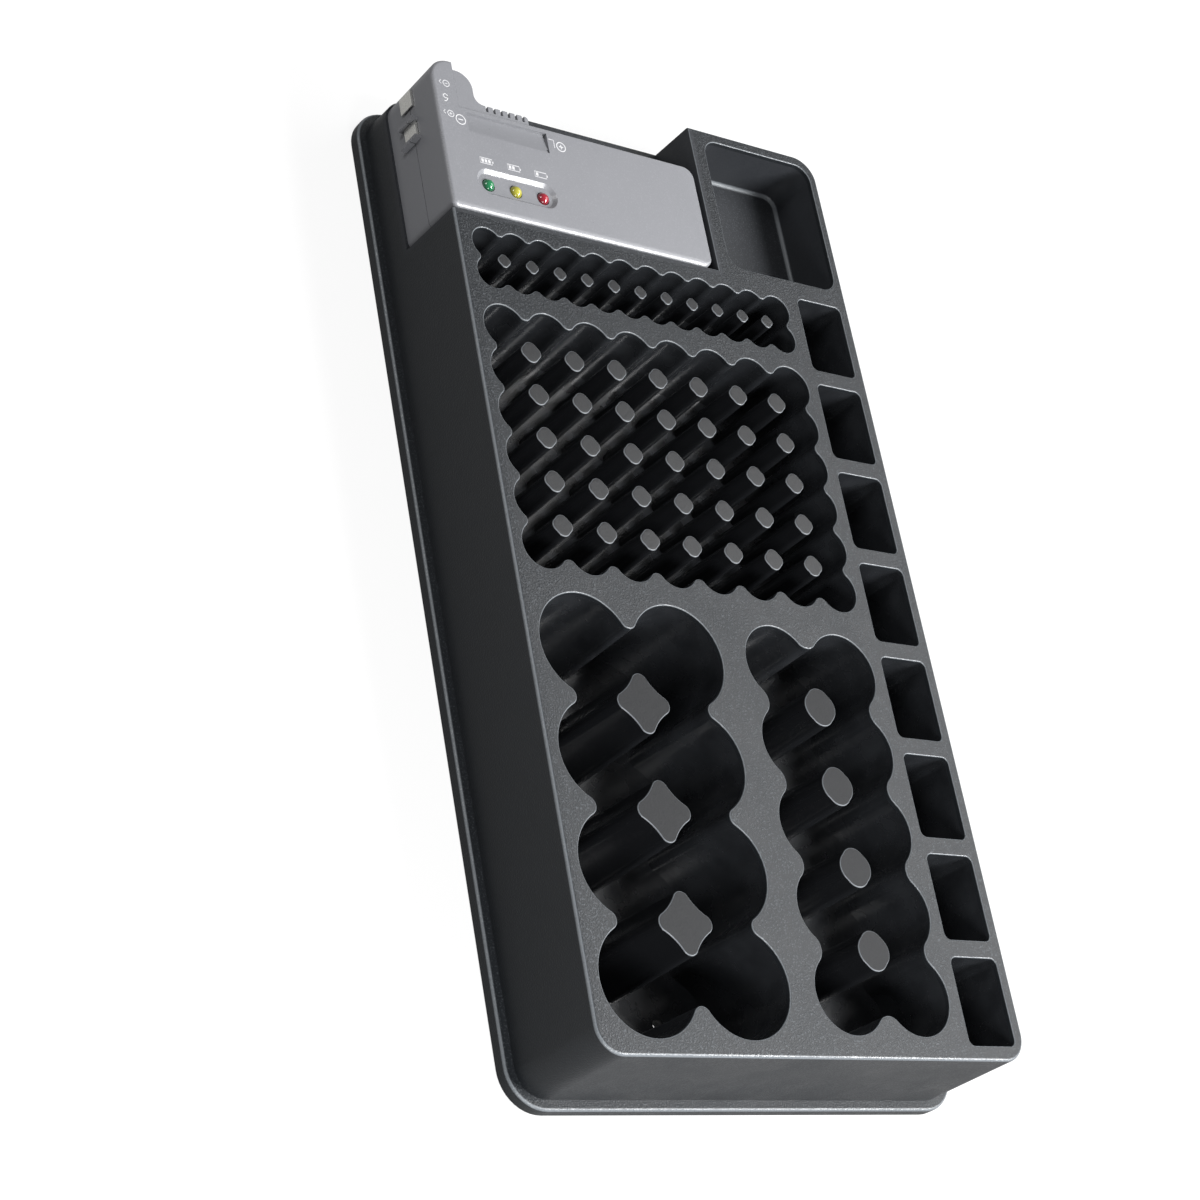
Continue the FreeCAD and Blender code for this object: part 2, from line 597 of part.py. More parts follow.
beyondLeft = "left_edge - base_reach - overrun"
beyondFar = "far_edge + base_reach + overrun"
aboveDeck = "case_height + overrun"
bayLining = box("bay_lining", (beyondLeft, "bay_near - case_wall", "bay_floor - case_wall"),
                ("bay_right + case_wall", beyondFar, aboveDeck))
lowerBay = box("lower_bay", (beyondLeft, "bay_near", "bay_floor"), ("bay_right", "lip_near", aboveDeck))
upperBay = box("upper_bay", (beyondLeft, "bay_near", "bay_floor + lip_height"),
               ("bay_right", beyondFar, aboveDeck))
blockBay = box("block_bay", (beyondLeft, "bay_near", "bay_floor"),
               ("block_right + tester_gap", beyondFar, aboveDeck))

# Screw bosses stand where the wells leave room
bossPlaces = [
    ("left_edge + left_margin + case_wall", "d_centre_y - d_pitch_y", "liner_top"),
    ("left_edge + left_margin + case_wall", "d_centre_y + d_pitch_y", "liner_top"),
    ("main_right - big_block_inset - case_wall", "c_centre_y - 1.5 * c_pitch_y", "liner_top"),
    ("main_right - big_block_inset - case_wall", "c_centre_y + 1.5 * c_pitch_y", "liner_top"),
    ("d_centre_x", "aa_near_edge - row_gap / 2", "liner_top"),
    ("aa_centre_x + 2 * aa_pitch_x", "aa_near_edge - row_gap / 2", "liner_top"),
    ("left_edge + tester_block_width", "bay_near + tester_body_depth", "bay_floor - case_wall"),
    ("right_edge - tester_block_width", "bin_centre_y", "bin_floor_height"),
]
bosses, pilots, baseScrewPlaces = [], [], []
for number, (x, y, roof) in enumerate(bossPlaces, start=1):
    bosses.append(cylinder("boss_%d" % number, "boss_radius", roof + " - base_thickness",
                           x, y, "base_thickness"))
    pilots.append(cylinder("pilot_%d" % number, "screw_radius + thread_clearance", "screw_length",
                           x, y, "base_thickness"))
    baseScrewPlaces.append((x, y))

# Holes for hanging the case on a wall: one under the tester, one in the floor of a large well
farHole = cylinder("bay_wall_hole", "wall_hole_radius", "bay_floor + overrun",
                   "wall_hole_x", "wall_hole_far", "0")
nearHole = cylinder("well_wall_hole", "wall_hole_radius", "case_height",
                    "wall_hole_x", "wall_hole_near", "0")
dWithHole = cut("d_liner_pierced", wellLiners["d"], nearHole)
subparts.remove(wellLiners["d"])
wellLiners["d"].Label = "d_liner_whole"
subpart(dWithHole, "d_well_liner")

# The last boss hangs under the bin
binWithBoss = fuse("bin_with_boss", [binOutside, bosses.pop()])
binTools = group("bin_tools", [binSpace, pilots.pop()])
subpart(cut("bin_tray", binWithBoss, binTools), "accessory_bin")

# The seventh hangs under the tester's bay: floor, near and right walls, and a lip at the far
# side that stops where the tester's narrow block stands out to the case's own corner
baySolid = common("bay_solid", caseBody, bayLining)
bayEmptied = cut("bay_emptied", baySolid, fuse("bay_space", [lowerBay, upperBay, blockBay]))
bayWithBoss = fuse("bay_with_boss", [bayEmptied, bosses.pop()])
bayDrilled = cut("bay_drilled", bayWithBoss, group("bay_holes", [pilots.pop(), farHole]))
doc.recompute()
bayRims = (edges_at(bayDrilled.Shape, Y=size("bay_near"), Z=size("case_height"))
           + edges_at(bayDrilled.Shape, X=size("bay_right"), Z=size("case_height")))
subpart(rounded("bay_rounded", bayDrilled, [(rim, size("mouth_round")) for rim in bayRims]), "tester_bay")

shellHollowed = cut("shell_hollowed", caseBody, hollowBody)
shellWithGap = cut("shell_with_gap", shellHollowed, bayLining)
shellWithBosses = fuse("shell_with_bosses", [shellWithGap] + bosses)
deckOpenings = group("deck_openings", [wellSpaces[block] for block in wellBlocks]
                     + [pocketSpaces, binSpace])
shellOpened = cut("shell_opened", shellWithBosses, deckOpenings)
shellDrilled = cut("shell_drilled", shellOpened, group("shell_holes", pilots))
doc.recompute()

# The mouths of the wells, pockets and bin are lightly rounded
drilled = shellDrilled.Shape
inside = size("deck_width") / 2 - size("deck_edge_round") - size("overrun")
deckEdges = [drilled.Edges[int(name[4:]) - 1] for name in level_edges(drilled, size("case_height"))]
mouthEdges = []
for ring in Part.sortEdges(deckEdges):
    ringBox = Part.Compound(ring).BoundBox
    if ringBox.XMin > -inside and ringBox.XMax < inside:
        mouthEdges += ring
mouthNames = edges_where(drilled, lambda edge: any(edge.isSame(mouth) for mouth in mouthEdges))
mouthRounds = [(name, size("mouth_round")) for name in mouthNames]
subpart(rounded("shell_rounded", shellDrilled, mouthRounds), "case_shell")

# Base plate with countersunk screw holes
plateBody = new_body("base_block")
plateOutline = rounded_sketch(plateBody, "plate_outline", "overall_width", "overall_length",
                              "deck_corner + base_reach")
plate = pad(plateBody, "plate", plateOutline, "base_thickness")
doc.recompute()
round_edges(plateBody, "plate_edge", plate, level_edges(plateBody.Shape, 0), "base_edge_round")
doc.recompute()


def screw_body(name, radius, head_radius, head_height, length, drive_radius, drive_depth):
    """A countersunk screw: its head lies at the origin and its shank runs up +Z."""
    body = new_body(name)
    sketch = new_sketch(body, name + "_profile", "XZ_Plane")
    points = [(0, 0), (size(head_radius), 0), (size(radius), size(head_height)),
              (size(radius), size(length)), (0, size(length))]
    count = len(points)
    for index, (x, z) in enumerate(points):
        nextX, nextZ = points[(index + 1) % count]
        sketch.addGeometry(Part.LineSegment(Vector(x, z, 0), Vector(nextX, nextZ, 0)))
    for index in range(count):
        sketch.addConstraint(Sketcher.Constraint("Coincident", index, 2, (index + 1) % count, 1))
    sketch.addConstraint(Sketcher.Constraint("Coincident", 0, 1, -1, 1))
    sketch.addConstraint(Sketcher.Constraint("Horizontal", 0))
    sketch.addConstraint(Sketcher.Constraint("Vertical", 2))
    sketch.addConstraint(Sketcher.Constraint("Horizontal", 3))
    sketch.addConstraint(Sketcher.Constraint("Vertical", 4))
    for kind, first, second, rule in (("DistanceX", (0, 1), (0, 2), head_radius),
                                      ("DistanceX", (0, 1), (1, 2), radius),
                                      ("DistanceY", (0, 1), (1, 2), head_height),
                                      ("DistanceY", (0, 1), (2, 2), length)):
        number = sketch.addConstraint(Sketcher.Constraint(kind, *first, *second, size(rule)))
        sketch.setExpression("Constraints[%d]" % number, bound(rule))
    turned = body.newObject("PartDesign::Revolution", name + "_turned")
    turned.Profile = sketch
    turned.ReferenceAxis = (sketch, ["V_Axis"])
    turned.Angle = 360
    doc.recompute()
    drive = cylinder(name + "_drive", drive_radius, drive_depth, "0", "0", "0")
    return cut(name + "_with_drive", body, drive)


def sink(name, head_radius, radius, height, x, y, z):
    """The countersink that a screw's head lies in."""
    piece = doc.addObject("Part::Cone", name)
    piece.setExpression("Radius1", bound(head_radius + " + screw_clearance"))
    piece.setExpression("Radius2", bound(radius + " + screw_clearance"))
    piece.setExpression("Height", bound(height))
    return place(piece, x, y, z)


def screw_set(name, screw, places, label):
    """One group of equal screws, each a separate solid."""
    doc.recompute()
    copies = []
    for x, y, z in places:
        one = screw.Shape.copy()
        one.translate(Vector(size(x), size(y), size(z)))
        copies.append(one)
    return subpart(shaped(name, Part.makeCompound(copies)), label)


baseScrew = screw_body("base_screw", "screw_radius", "screw_head_radius", "screw_head_height",
                       "screw_length", "screw_drive_radius", "screw_drive_depth")
screwHoles = []
for number, (x, y) in enumerate(baseScrewPlaces, start=1):
    screwHoles.append(cylinder("screw_way_%d" % number, "screw_radius + screw_clearance",
                               "base_thickness + overrun", x, y, "0"))
    screwHoles.append(sink("screw_sink_%d" % number, "screw_head_radius", "screw_radius",
                           "screw_head_height", x, y, "0"))
basePierced = cut("base_pierced", plateBody, fuse("base_screw_holes", screwHoles))
wallHoles = []
for number, y in enumerate(("wall_hole_near", "wall_hole_far"), start=1):
    wallHoles.append(cylinder("base_wall_hole_%d" % number, "wall_hole_radius",
                              "base_thickness + overrun", "wall_hole_x", y, "0"))
subpart(cut("base_drilled", basePierced, group("base_wall_holes", wallHoles)), "base_plate")
screw_set("base_screw_set", baseScrew, [(x, y, "0") for x, y in baseScrewPlaces], "base_screws")


# Tester: two shells with one stepped outline, parted half way up

def stepped_sketch(body, name, inset, height):
    """The tester's outline from above: a long body with a narrow block behind its left end."""
    sketch = new_sketch(body, name, z=height)
    xs = [size("tester_left + " + inset), size("block_right - " + inset), size("tester_right - " + inset)]
    ys = [size("tester_near + " + inset), size("tester_far - " + inset), size("block_far - " + inset)]
    points = [(xs[0], ys[0]), (xs[2], ys[0]), (xs[2], ys[1]),
              (xs[1], ys[1]), (xs[1], ys[2]), (xs[0], ys[2])]
    count = len(points)
    for index, (x, y) in enumerate(points):
        nextX, nextY = points[(index + 1) % count]
        sketch.addGeometry(Part.LineSegment(Vector(x, y, 0), Vector(nextX, nextY, 0)))
    for index in range(count):
        sketch.addConstraint(Sketcher.Constraint("Coincident", index, 2, (index + 1) % count, 1))
        sketch.addConstraint(Sketcher.Constraint("Vertical" if index % 2 else "Horizontal", index))
    for kind, line, rule in (("DistanceX", 0, "tester_left + "), ("DistanceY", 0, "tester_near + "),
                             ("DistanceX", 1, "tester_right - "), ("DistanceY", 2, "tester_far - "),
                             ("DistanceX", 3, "block_right - "), ("DistanceY", 4, "block_far - ")):
        rule += inset
        number = sketch.addConstraint(Sketcher.Constraint(kind, -1, 1, line, 1, size(rule)))
        sketch.setExpression("Constraints[%d]" % number, bound(rule))
    return sketch


uprightRounds = [("tester_right", "tester_far", "tester_corner"),
                 ("tester_left", "block_far", "tester_block_corner"),
                 ("tester_right", "tester_near", "tester_right_corner"),
                 ("tester_left", "tester_near", "tester_left_corner")]
crownRounds = [("Y", "tester_near", "tester_front_round"), ("X", "tester_left", "tester_left_round"),
               ("Y", "block_far", "tester_left_round"), ("X", "tester_right", "tester_edge_round"),
               ("Y", "tester_far", "tester_edge_round"), ("X", "block_right", "tester_edge_round")]


def tester_block(name, low, high, inset="0", crowned=False):
    """A solid with the tester's outline, its upright corners and its top edges rounded."""
    body = new_body(name)
    outline = stepped_sketch(body, name + "_outline", inset, low)
    pad(body, name + "_pad", outline, "(%s) - (%s)" % (high, low))
    doc.recompute()
    roundest = size("tester_block_width - 2 * %s - tester_gap" % inset)
    rounds = []
    for x, y, corner in uprightRounds:
        sideX = size(x) + size(inset) * (1 if x == "tester_left" else -1)
        sideY = size(y) + size(inset) * (1 if y == "tester_near" else -1)
        radius = min(size(corner) - size(inset), roundest)
        rounds += [(edge, radius) for edge in edges_at(body.Shape, X=sideX, Y=sideY)]
    if crowned:
        for axis, side, radius in crownRounds:
            rims = edges_at(body.Shape, Z=size(high), **{axis: size(side)})
            rounds += [(edge, size(radius)) for edge in rims]
    block = rounded(name + "_rounded", body, rounds)
    doc.recompute()
    return block


upperBody = tester_block("tester_upper_block", "parting_height", "tester_top", crowned=True)

columnPlaces = [("tester_left + column_inset", "tester_near + column_inset"),
                ("tester_right - column_inset", "tester_near + column_inset"),
                ("tester_right - column_inset", "tester_near + column_inset + board_length"),
                ("tester_left + tester_block_width / 2", "block_far - column_inset - rod_radius")]

upperInside = tester_block("tester_upper_room", "parting_height", "tester_ceiling", "tester_wall")
lowerInside = tester_block("tester_lower_room", "bay_floor + tester_wall", "parting_height", "tester_wall")

# Scoop: a slice of a wide cylinder that deepens towards the slider
scoopRound = lying_cylinder("scoop_round", "scoop_curve", "scoop_width", "scoop_start", "scoop_far",
                            "tester_top - scoop_depth + scoop_curve")
scoopBlock = box("scoop_block", ("scoop_start", "scoop_near", "tester_top - scoop_depth"),
                 ("scoop_start + scoop_width", "scoop_far", "tester_top + overrun"))
scoop = common("scoop", scoopRound, scoopBlock)
scoopFloor = box("scoop_backing", ("scoop_start - tester_wall", "scoop_near - tester_wall",
                                   "tester_ceiling - scoop_depth"),
                 ("scoop_start + scoop_width + tester_wall", "tester_far - tester_wall", "tester_ceiling"))
scoopSlots = [box("scoop_slot_%d" % number, ("scoop_start + scoop_width - scoop_slot_width", y,
                                             "tester_ceiling - scoop_depth - overrun"),
                  ("scoop_start + scoop_width", y + " + scoop_slot_length", "tester_top + overrun"))
              for number, y in enumerate(("scoop_far - scoop_slot_length", "scoop_near"), start=1)]

# Window: a long recess with leaning sides, holding three lights
def pill_outline(width, length, height):
    """A long outline with half round ends."""
    r = length / 2
    x = width / 2 - r
    return Part.Wire([
        Part.makeLine(Vector(-x, -r, height), Vector(x, -r, height)),
        Part.Arc(Vector(x, -r, height), Vector(x + r, 0, height), Vector(x, r, height)).toShape(),
        Part.makeLine(Vector(x, r, height), Vector(-x, r, height)),
        Part.Arc(Vector(-x, r, height), Vector(-x - r, 0, height), Vector(-x, -r, height)).toShape()])


lean = size("window_lean")
depth = size("window_depth")
overrun = size("overrun")
spread = lean * overrun / depth
windowWires = [pill_outline(size("window_width") + 2 * growth, size("window_length") + 2 * growth, height)
               for growth, height in ((-lean, -depth), (spread, overrun))]
windowShape = Part.makeLoft(windowWires, True, True)
window = shaped("light_window", windowShape, "window_centre_x", "window_centre_y", "tester_top")
windowBacking = box("window_backing",
                    ("window_centre_x - window_width / 2", "window_centre_y - window_length / 2",
                     "tester_ceiling - window_depth"),
                    ("window_centre_x + window_width / 2", "window_centre_y + window_length / 2",
                     "tester_ceiling"))
lightHoles = [cylinder("light_hole_%d" % index, "light_radius + light_hole_clearance", "tester_height",
                       "light_centre_x + %d * light_pitch" % index, "light_centre_y",
                       "bay_floor + tester_wall")
              for index in range(3)]

# Rod saddles, shell columns and board bosses

def saddle_pair(name, low, high):
    left = box(name + "_left", ("rod_left + slider_gap", "saddle_near", low),
               ("rod_left + slider_gap + saddle_thickness", "saddle_far", high))
    right = box(name + "_right", ("right_saddle_left", "saddle_near", low),
                ("rod_right", "saddle_far", high))
    return [left, right]


upperSaddles = saddle_pair("upper_saddle", "parting_height", "tester_ceiling")
lowerSaddles = saddle_pair("lower_saddle", "bay_floor + tester_wall", "parting_height")
rodWay = lying_cylinder("rod_way", "rod_radius + rod_clearance", "rod_right - rod_left", "rod_left",
                        "rod_y", "parting_height")
upperColumns, lowerColumns, upperPilots, lowerWays = [], [], [], []
for number, (x, y) in enumerate(columnPlaces, start=1):
    upperColumns.append(cylinder("upper_column_%d" % number, "column_radius",
                                 "tester_ceiling - parting_height", x, y, "parting_height"))
    lowerColumns.append(cylinder("lower_column_%d" % number, "column_radius",
                                 "parting_height - bay_floor - tester_wall", x, y,
                                 "bay_floor + tester_wall"))
    upperPilots.append(cylinder("upper_pilot_%d" % number, "small_screw_radius + thread_clearance",
                                "small_screw_length", x, y, "parting_height"))
    lowerWays.append(cylinder("lower_way_%d" % number, "small_screw_radius + screw_clearance",
                              "tester_lower_height", x, y, "bay_floor"))
    lowerWays.append(cylinder("lower_well_%d" % number, "small_head_radius + screw_clearance",
                              "tester_lower_height - small_screw_length / 2", x, y, "bay_floor"))
    lowerWays.append(sink("lower_sink_%d" % number, "small_head_radius", "small_screw_radius",
                          "small_head_height", x, y, "parting_height - small_screw_length / 2"))

boardBossPlaces = [(x, "board_near + board_length - board_boss_inset")
                   for x in ("board_left + board_boss_inset",
                             "board_left + board_width - board_boss_inset")]
boardBosses = [cylinder("board_boss_%d" % number, "board_boss_radius",
                        "tester_ceiling - board_top - board_thickness", x, y, "board_top + board_thickness")
               for number, (x, y) in enumerate(boardBossPlaces, start=1)]
boardPilots = [cylinder("board_pilot_%d" % number, "small_screw_radius + thread_clearance",
                        "small_screw_length", x, y, "board_top")
               for number, (x, y) in enumerate(boardBossPlaces, start=1)]

# Slot for the slider's tongue, half in each shell
tongueWay = box("tongue_way", ("carriage_left - slider_gap", "tester_far - tester_wall - overrun",
                               "parting_height - tongue_height / 2 - slider_gap"),
                ("carriage_right + slider_travel + slider_gap", "tester_far + overrun",
                 "parting_height + tongue_height / 2 + slider_gap"))

# Side contacts, their slots and the moulded ribs that guard the near one
contactPlaces = ["side_contact_far - contact_width / 2",
                 "side_contact_far - contact_width / 2 - contact_pitch"]
contactWays = [box("contact_way_%d" % number,
                   ("tester_left - overrun", y + " - contact_width / 2 - contact_clearance",
                    "contact_top - contact_thickness - contact_clearance"),
                   ("tester_left + tester_wall + overrun", y + " + contact_width / 2 + contact_clearance",
                    "contact_top + contact_clearance"))
               for number, y in enumerate(contactPlaces, start=1)]


def guard_ribs(name, low, high):
    """Two upright ribs on the tester's left side, one each side of the near contact."""
    ribs = []
    half = "(contact_width / 2 + contact_clearance + guard_thickness)"
    for number, y in enumerate((" - " + half, " + " + half + " - guard_thickness"), start=1):
        ribs.append(box(name + "_%d" % number,
                        ("tester_left - guard_reach", contactPlaces[1] + y, low),
                        ("tester_left + tester_wall / 2", contactPlaces[1] + y + " + guard_thickness",
                         high)))
    return ribs


upperGuards = guard_ribs("upper_guard", "parting_height", "contact_top + guard_above")
lowerGuards = guard_ribs("lower_guard", "contact_top - contact_tall - guard_below",
                         "parting_height - seam_width")

# Recess for the fixed contact on the inner face of the block
fixedRecess = box("fixed_contact_recess",
                  ("block_right - contact_thickness - contact_clearance",
                   "plate_y - plate_length / 2 - contact_clearance",
                   "plate_top - plate_tall - contact_clearance"),
                  ("block_right + overrun", "plate_y + plate_length / 2 + contact_clearance",
                   "plate_top + contact_clearance"))

upperHollow = cut("tester_upper_hollow", upperBody, upperInside)
upperFilled = fuse("tester_upper_filled", [upperHollow, scoopFloor, windowBacking] + upperSaddles
                   + upperColumns + boardBosses + upperGuards)
upperTools = fuse("tester_upper_tools", [scoop, window, rodWay, tongueWay, fixedRecess] + scoopSlots
                  + lightHoles + upperPilots + boardPilots + contactWays)
subpart(cut("tester_upper_shell", upperFilled, upperTools), "tester_top_shell")

lowerBody = fuse("tester_lower_body", [
    tester_block("tester_lower_block", "bay_floor", "parting_height - seam_width"),
    tester_block("tester_seam_step", "parting_height - seam_width", "parting_height", "seam_depth")])
lowerHollow = cut("tester_lower_hollow", lowerBody, lowerInside)
lowerFilled = fuse("tester_lower_filled", [lowerHollow] + lowerSaddles + lowerColumns + lowerGuards)
lowerTools = fuse("tester_lower_tools", [rodWay, tongueWay, fixedRecess] + lowerWays)
subpart(cut("tester_lower_shell", lowerFilled, lowerTools), "tester_bottom_shell")

# Screws of the tester and of its board
shellScrew = screw_body("shell_screw", "small_screw_radius", "small_head_radius", "small_head_height",
                        "small_screw_length", "screw_drive_radius", "screw_drive_depth")
screw_set("shell_screw_set", shellScrew,
          [(x, y, "parting_height - small_screw_length / 2") for x, y in columnPlaces], "tester_screws")
screw_set("board_screw_set", shellScrew,
          [(x, y, "board_top - small_head_height") for x, y in boardBossPlaces], "board_screws")

# Circuit board under the lights
boardBlock = box("board_block", ("board_left", "board_near", "board_top"),
                 ("board_left + board_width", "board_near + board_length", "board_top + board_thickness"))
boardWays = [cylinder("board_hole_%d" % number, "small_screw_radius + screw_clearance",
                      "board_thickness + 2 * overrun", x, y, "board_top - overrun")
             for number, (x, y) in enumerate(boardBossPlaces, start=1)]
boardHoles = group("board_holes", boardWays)
subpart(cut("board_drilled", boardBlock, boardHoles), "circuit_board")


def light(name, index):
    """A round lamp with a domed crown and a rim that stands on the board."""
    body = new_body(name)
    sketch = new_sketch(body, name + "_profile", "XZ_Plane")
    base, crown = size("board_top + board_thickness"), size("light_top")
    rim, radius, rimTop = size("light_rim_radius"), size("light_radius"), base + size("light_rim_height")
    shoulder = crown - radius
    points = [(0, base), (rim, base), (rim, rimTop), (radius, rimTop), (radius, shoulder)]
    for (x, z), (nextX, nextZ) in zip(points, points[1:]):
        sketch.addGeometry(Part.LineSegment(Vector(x, z, 0), Vector(nextX, nextZ, 0)))
    dome = Part.Circle(Vector(0, shoulder, 0), Vector(0, 0, 1), radius)
    sketch.addGeometry(Part.ArcOfCircle(dome, 0, math.pi / 2))
    sketch.addGeometry(Part.LineSegment(Vector(0, crown, 0), Vector(0, base, 0)))
    for index_here in range(3):
        sketch.addConstraint(Sketcher.Constraint("Coincident", index_here, 2, index_here + 1, 1))
    sketch.addConstraint(Sketcher.Constraint("Tangent", 3, 2, 4, 1))
    sketch.addConstraint(Sketcher.Constraint("Coincident", 4, 2, 5, 1))
    sketch.addConstraint(Sketcher.Constraint("Coincident", 5, 2, 0, 1))
    for line in (0, 2):
        sketch.addConstraint(Sketcher.Constraint("Horizontal", line))
    for line in (1, 3, 5):
        sketch.addConstraint(Sketcher.Constraint("Vertical", line))
    sketch.addConstraint(Sketcher.Constraint("PointOnObject", 0, 1, -2))
    sketch.addConstraint(Sketcher.Constraint("PointOnObject", 4, 3, -2))
    for kind, end, rule in (("DistanceY", (0, 1), "board_top + board_thickness"),
                            ("DistanceX", (0, 2), "light_rim_radius"),
                            ("DistanceY", (1, 2), "board_top + board_thickness + light_rim_height"),
                            ("DistanceX", (2, 2), "light_radius"),
                            ("DistanceY", (4, 2), "light_top")):
        number = sketch.addConstraint(Sketcher.Constraint(kind, -1, 1, *end, size(rule)))
        sketch.setExpression("Constraints[%d]" % number, bound(rule))
    turned = body.newObject("PartDesign::Revolution", name + "_turned")
    turned.Profile = sketch
    turned.ReferenceAxis = (sketch, ["V_Axis"])
    turned.Angle = 360
    place(body, "light_centre_x + %d * light_pitch" % index, "light_centre_y", "0")
    return subpart(body, name)


for index, name in enumerate(("led_green", "led_yellow", "led_red")):
    light(name, index)

# Side contacts: an outer plate with a tab that passes through the wall
contactNames = ["block_contact_minus", "block_contact_plus"]
for number, (name, y) in enumerate(zip(contactNames, contactPlaces), start=1):
    face = box("contact_face_%d" % number,
               ("tester_left - contact_stand - contact_thickness", y + " - contact_width / 2",
                "contact_top - contact_tall"),
               ("tester_left - contact_stand", y + " + contact_width / 2", "contact_top"))
    tab = box("contact_tab_%d" % number,
              ("tester_left - contact_stand - contact_thickness", y + " - contact_width / 2",
               "contact_top - contact_thickness"),
              ("tester_left - contact_stand + contact_tab", y + " + contact_width / 2", "contact_top"))
    subpart(fuse("contact_strip_%d" % number, [face, tab]), name)

subpart(box("fixed_plate", ("block_right - contact_thickness", "plate_y - plate_length / 2",
                            "plate_top - plate_tall"),
            ("block_right", "plate_y + plate_length / 2", "plate_top")), "fixed_cell_contact")

subpart(lying_cylinder("rod", "rod_radius", "rod_right - rod_left - slider_gap", "rod_left + slider_gap",
                       "rod_y", "parting_height"), "guide_rod")

# Slider: a jaw that sweeps down into a ribbed grip, with a tongue and a carriage on the rod
def slider_outline():
    """The slider from above, from its near left corner."""
    left, near = size("slider_left"), size("slider_near")
    jawTip = near + size("jaw_reach")
    crown, sweep = size("jaw_crown"), size("jaw_sweep")
    jawRight = left + size("jaw_thickness")
    gripFar = near + size("grip_thickness")
    right = left + size("slider_length")
    gripEnd = size("grip_end_round")
    bow = 1 - math.sqrt(0.5)
    straights = [[(left, near), (right, near), (right, gripFar - gripEnd)],
                 [(right - gripEnd, gripFar), (jawRight + sweep, gripFar)],
                 [(jawRight, gripFar + sweep), (jawRight, jawTip - crown)],
                 [(jawRight - crown, jawTip), (left, jawTip), (left, near)]]
    bends = [(right - gripEnd * bow, gripFar - gripEnd * bow),
             (jawRight + sweep * bow, gripFar + sweep * bow),
             (jawRight - crown * bow, jawTip - crown * bow)]
    edges = []
    for index, run in enumerate(straights):
        points = [Vector(x, y, 0) for x, y in run]
        edges += [Part.makeLine(start, end) for start, end in zip(points, points[1:])]
        if index < len(bends):
            following = Vector(*straights[index + 1][0], 0)
            edges.append(Part.Arc(points[-1], Vector(*bends[index], 0), following).toShape())
    return Part.Wire(edges)


profile = shaped("slider_profile", Part.Face(slider_outline()), z="slider_bottom")
sliderBlock = doc.addObject("Part::Extrusion", "slider_block")
sliderBlock.Base = profile
sliderBlock.Dir = Vector(0, 0, 1)
sliderBlock.Solid = True
sliderBlock.setExpression("LengthFwd", bound("slider_height"))
grooves = []
for index in range(int(size("rib_count"))):
    x = "slider_left + slider_length - rib_end_margin - rib_width - %d * rib_pitch" % index
    grooves.append(box("grip_groove_%d" % index,
                       (x, "slider_near + grip_thickness - rib_depth", "slider_bottom - overrun"),
                       (x + " + rib_width", "slider_near + grip_thickness + overrun",
                        "slider_top + overrun")))
jawRecess = box("jaw_contact_recess",
                ("slider_left - overrun", "plate_y - plate_length / 2 - contact_clearance",
                 "plate_top - plate_tall - contact_clearance"),
                ("slider_left + contact_thickness + contact_clearance",
                 "plate_y + plate_length / 2 + contact_clearance", "plate_top + contact_clearance"))
tongue = box("tongue", ("carriage_left", "rod_y", "parting_height - tongue_height / 2"),
             ("carriage_right", "slider_near + overrun", "parting_height + tongue_height / 2"))
carriage = box("carriage", ("carriage_left", "carriage_near", "parting_height - carriage_height / 2"),
               ("carriage_right", "rod_y + carriage_depth / 2 - slider_gap",
                "parting_height + carriage_height / 2"))
carriageBore = lying_cylinder("carriage_bore", "rod_radius + rod_clearance",
                              "carriage_length + 2 * overrun", "carriage_left - overrun", "rod_y",
                              "parting_height")
sliderSolid = fuse("slider_solid", [sliderBlock, tongue, carriage])
subpart(cut("slider_cut", sliderSolid, fuse("slider_tools", grooves + [jawRecess, carriageBore])), "slider")
subpart(box("jaw_plate", ("slider_left", "plate_y - plate_length / 2", "plate_top - plate_tall"),
            ("slider_left + contact_thickness", "plate_y + plate_length / 2", "plate_top")),
        "slider_contact")

# Return spring: a round wire wound about the rod, from the carriage to the far saddle
springLength = size("right_saddle_left - carriage_right - 2 * spring_rest_gap")
wire = size("spring_wire")
coilRadius = size("spring_radius") - wire
coilPitch = (springLength - 2 * wire) / size("spring_turns")
helix = Part.makeHelix(coilPitch, coilPitch * size("spring_turns"), coilRadius)
startPoint = Vector(coilRadius, 0, 0)
startWay = Vector(0, 1, coilPitch / (2 * math.pi * coilRadius))
ring = Part.Wire([Part.Circle(startPoint, startWay, wire).toShape()])
springShape = Part.Wire(helix.Edges).makePipeShell([ring], True, True)
springShape.rotate(Vector(0, 0, 0), Vector(0, 1, 0), 90)
springGap = coilPitch - 2 * wire
print("return spring: gap between turns %.2f mm" % springGap)
spring = shaped("spring_wire_turns", springShape, "carriage_right + spring_rest_gap + spring_wire", "rod_y",
                "parting_height")
subpart(spring, "return_spring")

doc.recompute()

# Check every object, then write one file for each sub-part
faults = [item.Label for item in doc.Objects if "Invalid" in item.State or "Error" in item.State]
for piece in subparts:
    if piece.Shape.isNull() or not piece.Shape.isValid():
        faults.append(piece.Label)
if faults:
    raise RuntimeError("these objects failed: " + ", ".join(faults))

os.makedirs("parts", exist_ok=True)
for piece in subparts:
    piece.Shape.exportStep(os.path.join("parts", piece.Label + ".step"))
    extent = piece.Shape.BoundBox
    print("%-22s solids %2d  volume %10.1f  z %.2f to %.2f" % (piece.Label, len(piece.Shape.Solids),
                                                              piece.Shape.Volume, extent.ZMin, extent.ZMax))
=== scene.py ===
import bmesh
import bpy
import math
from mathutils import Matrix, Vector


